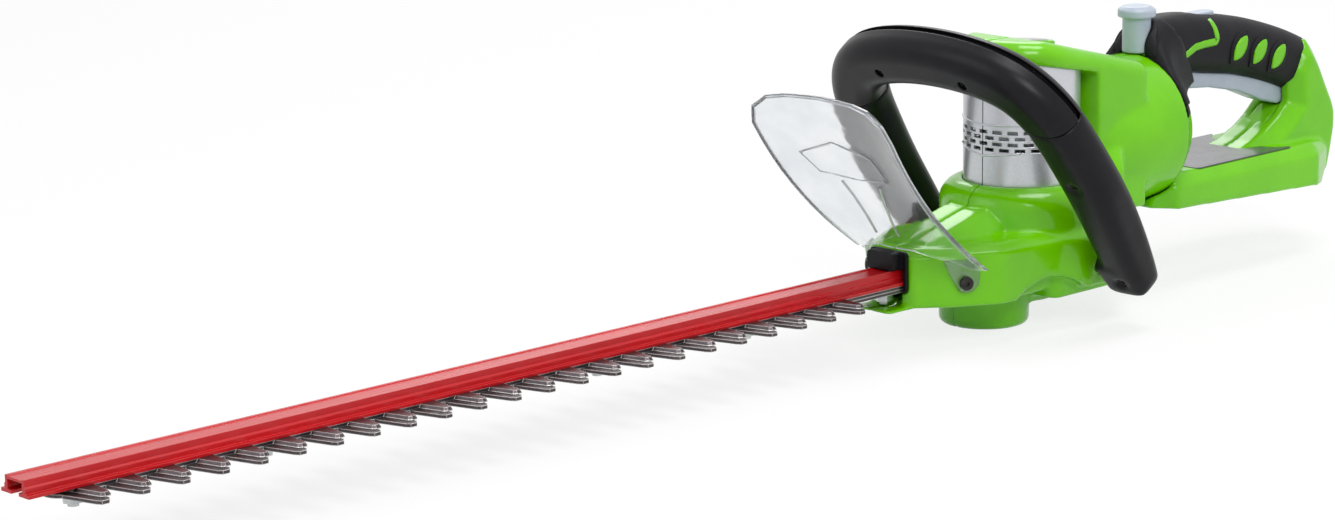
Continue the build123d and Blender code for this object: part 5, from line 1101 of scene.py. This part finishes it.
@dataclass
class GripAccent:
    """The green line that runs through the soft grip below the lock-off button."""

    line_mm: tuple[Pair, ...] = ((167.2, 165.2), (168.4, 150.4), (167.2, 148.8), (156.0, 148.6),
                                 (146.5, 147.8), (135.0, 142.6))
    width_mm: float = 4.8
    proud_mm: float = 0.35
    rim_proud_mm: float = 0.05
    deep_mm: float = 0.8
    lanes: int = 6
    steps: int = 6
    probe: float = 0.06           # how far out the probing rays start

    def sampled_line(self) -> list[Vector]:
        """Divides the line into short steps.

        Returns:
            Points in the side view, as (x, z) in metres.
        """
        places = [Vector((x * MM, z * MM)) for x, z in self.line_mm]
        samples = []
        for start, end in zip(places, places[1:]):
            samples.extend(start.lerp(end, step / self.steps) for step in range(self.steps))
        samples.append(places[-1])
        return samples

    def strip(self, skin: BVHTree, side: int) -> bpy.types.Mesh:
        """Wraps the line onto one side of the grip as a thin closed strip.

        Args:
            skin: the grip's surface.
            side: +1 or -1 for the side of the grip.

        Returns:
            The strip's mesh.
        """
        line = self.sampled_line()
        form = bmesh.new()
        top_rows: list[list[bmesh.types.BMVert]] = []
        low_rows: list[list[bmesh.types.BMVert]] = []
        for index, place in enumerate(line):
            ahead = line[min(index + 1, len(line) - 1)] - line[max(index - 1, 0)]
            across = Vector((-ahead.y, ahead.x)).normalized()
            top_row, low_row = [], []
            for lane in range(self.lanes + 1):
                offset = (lane / self.lanes - 0.5) * self.width_mm * MM
                spot = place + across * offset
                start = Vector((spot.x, side * self.probe, spot.y))
                hit, normal, _, _ = skin.ray_cast(start, Vector((0, -side, 0)))
                if hit is None:
                    continue
                rim = lane in (0, self.lanes) or index in (0, len(line) - 1)
                proud = self.rim_proud_mm if rim else self.proud_mm
                top_row.append(form.verts.new(hit + normal * proud * MM))
                low_row.append(form.verts.new(hit - normal * self.deep_mm * MM))
            if len(top_row) == self.lanes + 1:
                top_rows.append(top_row)
                low_rows.append(low_row)
        for top_a, top_b, low_a, low_b in zip(top_rows, top_rows[1:], low_rows, low_rows[1:]):
            for lane in range(self.lanes):
                form.faces.new((top_a[lane], top_a[lane + 1], top_b[lane + 1], top_b[lane]))
                form.faces.new((low_b[lane], low_b[lane + 1], low_a[lane + 1], low_a[lane]))
            form.faces.new((top_a[0], top_b[0], low_b[0], low_a[0]))
            form.faces.new((top_b[-1], top_a[-1], low_a[-1], low_b[-1]))
        for top_row, low_row in ((top_rows[0], low_rows[0]), (top_rows[-1][::-1], low_rows[-1][::-1])):
            for lane in range(self.lanes):
                form.faces.new((top_row[lane + 1], top_row[lane], low_row[lane], low_row[lane + 1]))
        loose = [vert for vert in form.verts if not vert.link_faces]
        bmesh.ops.delete(form, geom=loose, context="VERTS")
        bmesh.ops.recalc_face_normals(form, faces=form.faces)
        mesh = bpy.data.meshes.new("grip_accent")
        form.to_mesh(mesh)
        form.free()
        return mesh


@dataclass
class LeafInlays:
    """Three pointed green inlays on each side of the grip, on soft beds that fill their openings."""

    centres_mm: tuple[Pair, ...] = ((191.6, 141.8), (211.8, 137.0), (231.6, 131.4))
    axis_mm: tuple[Pair, ...] = ((120.0, 149.2), (139.0, 149.5), (166.0, 146.5), (197.0, 141.5),
                                 (223.0, 135.0), (248.0, 127.0), (263.0, 121.0))
    tilt_deg: float = 47.0
    leaf_half_mm: Pair = (9.2, 4.9)
    bed_half_mm: Pair = (12.5, 8.4)
    leaf_proud_mm: float = 0.4
    bed_proud_mm: float = -0.8
    grip_half_width_mm: float = 17.5
    grip_half_height_mm: float = 19.0
    grip_corner_mm: float = 15.0
    crown_fall: float = 0.4       # how much lower the inlay is at its rim than in its middle
    point_power: float = 0.75     # above one half the ends are pointed
    shell_mm: float = 1.2
    columns: int = 16
    lanes: int = 8

    def skin_y(self, x: float, z: float) -> float:
        """Works out how far the soft skin stands from the middle plane at a place in the side view.

        Args:
            x: place along the tool, in millimetres.
            z: height in millimetres.

        Returns:
            The distance in millimetres.
        """
        nearest = 1e9
        for (x_from, z_from), (x_to, z_to) in zip(self.axis_mm, self.axis_mm[1:]):
            run = Vector((x_to - x_from, z_to - z_from))
            away = Vector((x - x_from, z - z_from))
            share = min(max(away.dot(run) / run.length_squared, 0.0), 1.0)
            nearest = min(nearest, (away - run * share).length)
        past = max(nearest - (self.grip_half_height_mm - self.grip_corner_mm), 0.0)
        curve = math.sqrt(max(self.grip_corner_mm ** 2 - past ** 2, 0.0))
        return self.grip_half_width_mm - self.grip_corner_mm + curve

    def leaf(self, name: str, centre: Pair, half: Pair, proud: float,
             side: int) -> Piece:
        """Builds one pointed inlay that follows the skin.

        Args:
            name: the new piece's name.
            centre: its middle in the side view, in millimetres.
            half: half of its length and width, in millimetres.
            proud: how far it stands out of the skin, in millimetres.
            side: +1 or -1 for the side of the grip.

        Returns:
            The new piece.
        """
        along = Vector((math.cos(math.radians(self.tilt_deg)), math.sin(math.radians(self.tilt_deg))))
        across = Vector((-along.y, along.x))
        rows = []
        for column in range(self.columns + 1):
            u = column / self.columns * 2 - 1
            width = half[1] * (1 - u * u) ** self.point_power
            row = []
            for lane in range(self.lanes + 1):
                v = lane / self.lanes * 2 - 1
                spot = Vector(centre) + along * (u * half[0]) + across * (v * width)
                crown = proud * (1 - self.crown_fall * v * v) * (1 - self.crown_fall * u * u)
                row.append(Vector((spot.x, side * (self.skin_y(spot.x, spot.y) + crown), spot.y)) * MM)
            rows.append(row if side < 0 else row[::-1])
        return shell_from_grid(name, rows, self.shell_mm)

    def build(self, shop: Workshop) -> None:
        """Sets all inlays and their beds.

        Args:
            shop: the workshop.
        """
        for side, word in ((1, "left"), (-1, "right")):
            for number, centre in enumerate(self.centres_mm, 1):
                bed = self.leaf(f"leaf_bed_{word}_{number}", centre, self.bed_half_mm,
                                self.bed_proud_mm, side)
                shop.add(bed, "soft_grip", "rear_handle")
                inlay = self.leaf(f"leaf_{word}_{number}", centre, self.leaf_half_mm,
                                  self.leaf_proud_mm, side)
                shop.add(inlay, "green_shell", "rear_handle")


@dataclass
class CollarBoot:
    """The flared soft boot that carries the skin from the round collar up into the grip."""

    rim_x_mm: float = 106.5
    rim_r_mm: float = 46.1
    axis_z_mm: float = 101.0
    rim_span_deg: float = 67.0
    grip_span_deg: float = 150.0
    grip_z_mm: float = 149.3
    grip_half_mm: Pair = (17.9, 19.5)
    grip_x_mm: float = 122.0
    grip_slant_mm: float = 28.0
    flap_start: float = 0.75
    flap_drop_mm: float = 7.0
    flap_out_mm: float = 4.0
    grip_roundness: float = 0.85  # below one makes the grip's oval squarer
    slant_power: float = 1.5
    leave_mm: Pair = (-4.5, 9.0)              # how the boot leaves the rim on top, along x and z
    leave_side_mm: Pair = (15.5, -8.0)        # what its lower edges add to that
    arrive_mm: Pair = (-15.0, -1.0)           # how it comes to the grip on top, along x and z
    arrive_side_mm: Triple = (-14.0, 10.0, -4.0)
    shell_mm: float = 1.4
    knob_x_mm: float = 109.0
    knob_r_mm: float = 9.4
    knob_span_mm: Pair = (120.0, 190.0)
    knob_corners: int = 40
    columns: int = 48
    steps: int = 20

    def profile(self, share: float) -> list[Vector]:
        """Follows the boot from the rim to the grip at one place of its width.

        Args:
            share: -1 at the lower right edge, 0 on top and 1 at the lower left edge.

        Returns:
            Points in metres.
        """
        wide = abs(share)
        side = 1.0 if share >= 0 else -1.0
        rim_turn = math.radians(wide * self.rim_span_deg)
        start = Vector((self.rim_x_mm, self.rim_r_mm * math.sin(rim_turn),
                        self.axis_z_mm + self.rim_r_mm * math.cos(rim_turn)))
        grip_turn = math.radians(wide * self.grip_span_deg)
        rise = math.copysign(abs(math.cos(grip_turn)) ** self.grip_roundness, math.cos(grip_turn))
        end = Vector((self.grip_x_mm + self.grip_slant_mm * wide ** self.slant_power,
                      self.grip_half_mm[0] * math.sin(grip_turn) ** self.grip_roundness,
                      self.grip_z_mm + self.grip_half_mm[1] * rise))
        flap = max(wide - self.flap_start, 0.0) / (1 - self.flap_start)
        end += Vector((0.0, self.flap_out_mm * flap, -self.flap_drop_mm * flap))
        leave = start + Vector((self.leave_mm[0] + self.leave_side_mm[0] * wide, 0.0,
                                self.leave_mm[1] + self.leave_side_mm[1] * wide))
        arrive = end + Vector((self.arrive_mm[0] + self.arrive_side_mm[0] * wide,
                               self.arrive_side_mm[1] * wide * wide,
                               self.arrive_mm[1] + self.arrive_side_mm[2] * wide))
        points = []
        for step in range(self.steps + 1):
            t = step / self.steps
            point = (start * (1 - t) ** 3 + leave * 3 * t * (1 - t) ** 2 + arrive * 3 * t * t * (1 - t)
                     + end * t ** 3)
            points.append(Vector((point.x, side * point.y, point.z)) * MM)
        return points

    def build(self, shop: Workshop) -> None:
        """Builds the boot and cuts the pull knob's hole into it.

        Args:
            shop: the workshop.
        """
        rows = [self.profile(column / self.columns * 2 - 1) for column in range(self.columns + 1)]
        boot = shell_from_grid("collar_boot", rows, self.shell_mm)
        outline = [(self.knob_x_mm + self.knob_r_mm * math.cos(turn), self.knob_r_mm * math.sin(turn))
                   for turn in (math.tau * index / self.knob_corners for index in range(self.knob_corners))]
        cutter = prism("knob_cutter", outline, *self.knob_span_mm, "xy", 0.0)
        cut = boot.modifiers.new("knob", "BOOLEAN")
        cut.operation = "DIFFERENCE"
        cut.object = cutter
        cut.solver = "EXACT"
        applied(boot)
        bpy.data.objects.remove(cutter)
        boot.data.shade_smooth()
        shop.add(boot, "soft_grip", "rear_handle")


@dataclass
class RearHandle(SubAssembly):
    """The turning handle: its shells, soft grip, accents and the plain label on its base."""

    nodes: tuple[str, ...] = ("rear_handle_screws", "grip_overmould", "trigger_pin", "main_switch",
                              "battery_terminal_block", "battery_terminals")
    moulded_nodes: tuple[str, ...] = ("rear_handle_left", "rear_handle_right")
    passes: int = 6
    accent: GripAccent = field(default_factory=GripAccent)
    leaves: LeafInlays = field(default_factory=LeafInlays)
    boot: CollarBoot = field(default_factory=CollarBoot)
    slot_cover_mm: tuple[Pair, ...] = ((222.0, 80.0), (238.0, 90.3), (246.5, 95.6), (255.6, 97.2),
                                       (259.6, 102.6), (262.5, 102.6), (262.5, 80.0))
    slot_half_mm: float = 7.6
    slot_edge_mm: float = 0.6
    label_corners_mm: tuple[Pair, ...] = ((131.0, -32.5), (230.0, -32.5), (216.0, -23.5),
                                          (216.0, 23.5), (230.0, 32.5), (131.0, 32.5))
    label_z_mm: float = 74.0
    label_thick_mm: float = 0.35
    label_sunk_mm: float = 0.3
    label_corner_mm: float = 4.0
    corner_steps: int = 6

    def label(self) -> Piece:
        """Cuts the plain label with rounded corners.

        Returns:
            The label as a thin closed plate.
        """
        form = bmesh.new()
        low = (self.label_z_mm - self.label_sunk_mm) * MM
        rim = [form.verts.new((x * MM, y * MM, low)) for x, y in self.label_corners_mm]
        form.faces.new(rim)
        bmesh.ops.bevel(form, geom=rim, offset=self.label_corner_mm * MM, segments=self.corner_steps,
                        profile=0.5, affect="VERTICES")
        raised = bmesh.ops.extrude_face_region(form, geom=form.faces[:])
        lift = Vector((0, 0, (self.label_thick_mm + self.label_sunk_mm) * MM))
        bmesh.ops.translate(form, vec=lift, verts=[g for g in raised["geom"]
                                                   if isinstance(g, bmesh.types.BMVert)])
        bmesh.ops.recalc_face_normals(form, faces=form.faces)
        mesh = bpy.data.meshes.new("base_label")
        form.to_mesh(mesh)
        form.free()
        return piece_from_mesh("base_label", mesh)

    def build(self, shop: Workshop) -> None:
        """Dresses the handle and adds its soft edges, accents and label.

        Args:
            shop: the workshop.
        """
        super().build(shop)
        skin = shop.surface("grip_overmould")
        self.leaves.build(shop)
        self.boot.build(shop)
        cover = prism("trigger_slot_cover", list(self.slot_cover_mm), -self.slot_half_mm,
                      self.slot_half_mm, "xz", self.slot_edge_mm)
        shop.add(cover, "green_shell", "rear_handle")
        for side, word in ((1, "left"), (-1, "right")):
            strip = piece_from_mesh(f"grip_accent_{word}", self.accent.strip(skin, side))
            strip.data.shade_smooth()
            shop.add(strip, "green_shell", "rear_handle")
        shop.add(self.label(), "label_film", "rear_handle")


@dataclass(frozen=True)
class CoilSpring:
    """A wound compression spring."""

    node: str
    joint: str
    x_mm: float
    low_mm: float
    high_mm: float
    fixed_mm: float
    radius_mm: float
    wire_mm: float
    turns: int
    keep: float
    steps: int = 20

    def build(self, shop: Workshop) -> None:
        """Winds the spring.

        Args:
            shop: the workshop.
        """
        low, high = self.low_mm + self.wire_mm, self.high_mm - self.wire_mm
        points = []
        for index in range(self.turns * self.steps + 1):
            turn = math.tau * index / self.steps
            climb = index / (self.turns * self.steps)
            points.append(Vector((self.x_mm + self.radius_mm * math.cos(turn),
                                  self.radius_mm * math.sin(turn), low + (high - low) * climb)) * MM)
        coil = shop.bead(f"{self.node}_coil", points, self.wire_mm, "spring_steel", "rear_handle")
        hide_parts(self.node)
        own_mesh(coil)


@dataclass
class Controls(SubAssembly):
    """Trigger, lock-off button and the pull knob that frees the turning handle."""

    nodes: tuple[str, ...] = ("trigger_spring", "lock_off_spring", "rotation_lock_spring")
    moulded_nodes: tuple[str, ...] = ("trigger", "lock_off_button", "rotation_lock")
    voxel_mm: float = 0.6
    crown_from_mm: float = 163.0
    crown_keep: float = 0.55
    coils: tuple[CoilSpring, ...] = (
        CoilSpring("lock_off_spring", "lock_off_press", x_mm=170.0, low_mm=138.4, high_mm=152.0,
                   fixed_mm=138.4, radius_mm=3.6, wire_mm=0.5, turns=6, keep=0.816),
        CoilSpring("rotation_lock_spring", "rotation_lock_pull", x_mm=109.0, low_mm=131.5, high_mm=141.5,
                   fixed_mm=141.5, radius_mm=2.73, wire_mm=0.2, turns=8, keep=0.5))

    def build(self, shop: Workshop) -> None:
        """Dresses the controls, winds their springs and softens their edges.

        Args:
            shop: the workshop.
        """
        self.dress(shop)
        for coil in self.coils:
            coil.build(shop)
        self.soften(shop)

    def shape(self, node: str, twin: Piece) -> None:
        """Presses the button's crown down until it stands just proud of the grip.

        Args:
            node: the control.
            twin: its soft-edged twin.
        """
        if node != "lock_off_button":
            return
        for vertex in twin.data.vertices:
            over = vertex.co.z / MM - self.crown_from_mm
            if over > 0:
                vertex.co.z = (self.crown_from_mm + over * self.crown_keep) * MM


# ---------------------------------------------------------------- studio
@dataclass(frozen=True)
class SoftBox:
    """A square lamp: its place and its side in metres, and its power in watts."""

    place: Triple
    side: float
    watts: float


class Lamp(Enum):
    """The soft boxes of the set."""

    KEY = SoftBox((-1.1, -2.0, 2.0), 1.1, 31.0)
    FILL = SoftBox((-2.6, 0.8, 1.5), 1.6, 12.0)
    RIM = SoftBox((1.5, 1.6, 1.7), 1.2, 16.0)
    TOP = SoftBox((0.2, -0.4, 2.4), 1.0, 28.0)


@dataclass
class Studio:
    """White sweep, soft boxes and the camera."""

    camera_place: Triple = (-1.6751, -1.4487, 0.5341)
    azimuth_deg: float = -43.53
    elevation_deg: float = 12.76
    roll_deg: float = -0.793
    lens_mm: float = 99.26
    sensor_mm: float = 36.0
    target: Triple = (-0.1, 0.0, 0.08)
    floor_size: float = 14.0
    floor_gap: float = 0.0002     # keeps the floor clear of the foot's face
    floor_hex: str = "f2f2f2"
    floor_glow: float = 0.8
    sky_strength: float = 0.42

    def camera(self) -> None:
        """Sets the camera."""
        azimuth = math.radians(self.azimuth_deg)
        elevation = math.radians(self.elevation_deg)
        roll = math.radians(self.roll_deg)
        back = Vector((math.sin(azimuth) * math.cos(elevation), -math.cos(azimuth) * math.cos(elevation),
                       math.sin(elevation)))
        right = (-back).cross(Vector((0, 0, 1))).normalized()
        up = right.cross(-back)
        turned_right = right * math.cos(roll) + up * math.sin(roll)
        turned_up = up * math.cos(roll) - right * math.sin(roll)
        lens = bpy.data.cameras.new("camera")
        lens.lens = self.lens_mm
        lens.sensor_width = self.sensor_mm
        camera = bpy.data.objects.new("camera", lens)
        pose = Matrix((turned_right, turned_up, back)).transposed().to_4x4()
        pose.translation = Vector(self.camera_place)
        camera.matrix_world = pose
        bpy.context.scene.collection.objects.link(camera)
        bpy.context.scene.camera = camera

    def lights(self) -> None:
        """Hangs the soft boxes."""
        for lamp in Lamp:
            box = lamp.value
            light = bpy.data.lights.new(lamp.name.lower(), "AREA")
            light.shape = "SQUARE"
            light.size = box.side
            light.energy = box.watts
            holder = bpy.data.objects.new(lamp.name.lower(), light)
            holder.location = box.place
            aim = Vector(self.target) - Vector(box.place)
            holder.rotation_euler = aim.to_track_quat("-Z", "Y").to_euler()
            bpy.context.scene.collection.objects.link(holder)

    def floor(self) -> None:
        """Lays the white sweep, which glows for the camera and keeps the soft shadow."""
        mesh = bpy.data.meshes.new("floor")
        half = self.floor_size / 2
        mesh.from_pydata([(-half, -half, 0), (half, -half, 0), (half, half, 0), (-half, half, 0)], [],
                         [(0, 1, 2, 3)])
        floor = bpy.data.objects.new("floor", mesh)
        floor.location.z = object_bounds()[0][2] - self.floor_gap
        bpy.context.scene.collection.objects.link(floor)
        material = bpy.data.materials.new("white_sweep")
        material.use_nodes = True
        tree = material.node_tree
        tree.nodes.clear()
        seen = self.seen_rays(tree)
        paper = add_node(tree, "ShaderNodeBsdfDiffuse", {"Color": linear(self.floor_hex)})
        glow = add_node(tree, "ShaderNodeEmission", {"Color": (1.0, 1.0, 1.0, 1.0), "Strength": 1.0})
        share = add_node(tree, "ShaderNodeMath", {"operation": "MULTIPLY", 1: self.floor_glow}, {0: seen})
        both = add_node(tree, "ShaderNodeMixShader", {}, {0: share.outputs[0], 1: paper.outputs[0],
                                                          2: glow.outputs[0]})
        add_node(tree, "ShaderNodeOutputMaterial", {}, {"Surface": both.outputs[0]})
        mesh.materials.append(material)
        floor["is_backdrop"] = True

    @staticmethod
    def seen_rays(tree: Tree) -> Socket:
        """Picks the rays that show the background: to the camera, in a gloss or through the guard.

        Args:
            tree: the node tree.

        Returns:
            A socket that is one for such a ray.
        """
        path = add_node(tree, "ShaderNodeLightPath")
        first = add_node(tree, "ShaderNodeMath", {"operation": "MAXIMUM"},
                         {0: path.outputs["Is Camera Ray"], 1: path.outputs["Is Glossy Ray"]})
        both = add_node(tree, "ShaderNodeMath", {"operation": "MAXIMUM"},
                        {0: first.outputs[0], 1: path.outputs["Is Transmission Ray"]})
        return both.outputs[0]

    def sky(self) -> None:
        """Sets a white background that lights the tool softly."""
        world = bpy.data.worlds.new("white_room")
        bpy.context.scene.world = world
        world.use_nodes = True
        tree = world.node_tree
        tree.nodes.clear()
        strength = add_node(tree, "ShaderNodeMapRange", {"To Min": self.sky_strength, "To Max": 1.0},
                            {"Value": self.seen_rays(tree)})
        room = add_node(tree, "ShaderNodeBackground", {"Color": (1.0, 1.0, 1.0, 1.0)},
                        {"Strength": strength.outputs["Result"]})
        add_node(tree, "ShaderNodeOutputWorld", {}, {"Surface": room.outputs[0]})

    def build(self) -> None:
        """Sets up the whole studio."""
        self.camera()
        self.lights()
        self.floor()
        self.sky()
        bpy.context.scene.view_settings.view_transform = "Standard"


def main() -> None:
    """Builds the trimmer's looks and its studio."""
    logging.basicConfig(level=logging.INFO, format="%(name)s %(message)s")
    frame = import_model()
    shop = Workshop(frame, FinishShop())
    for part in (CuttingDeck(), Drive(), Housing(), FrontHandle(), HandGuard(), RearHandle(), Controls()):
        part.build(shop)
    Studio().build()


if __name__ == "__main__":
    main()
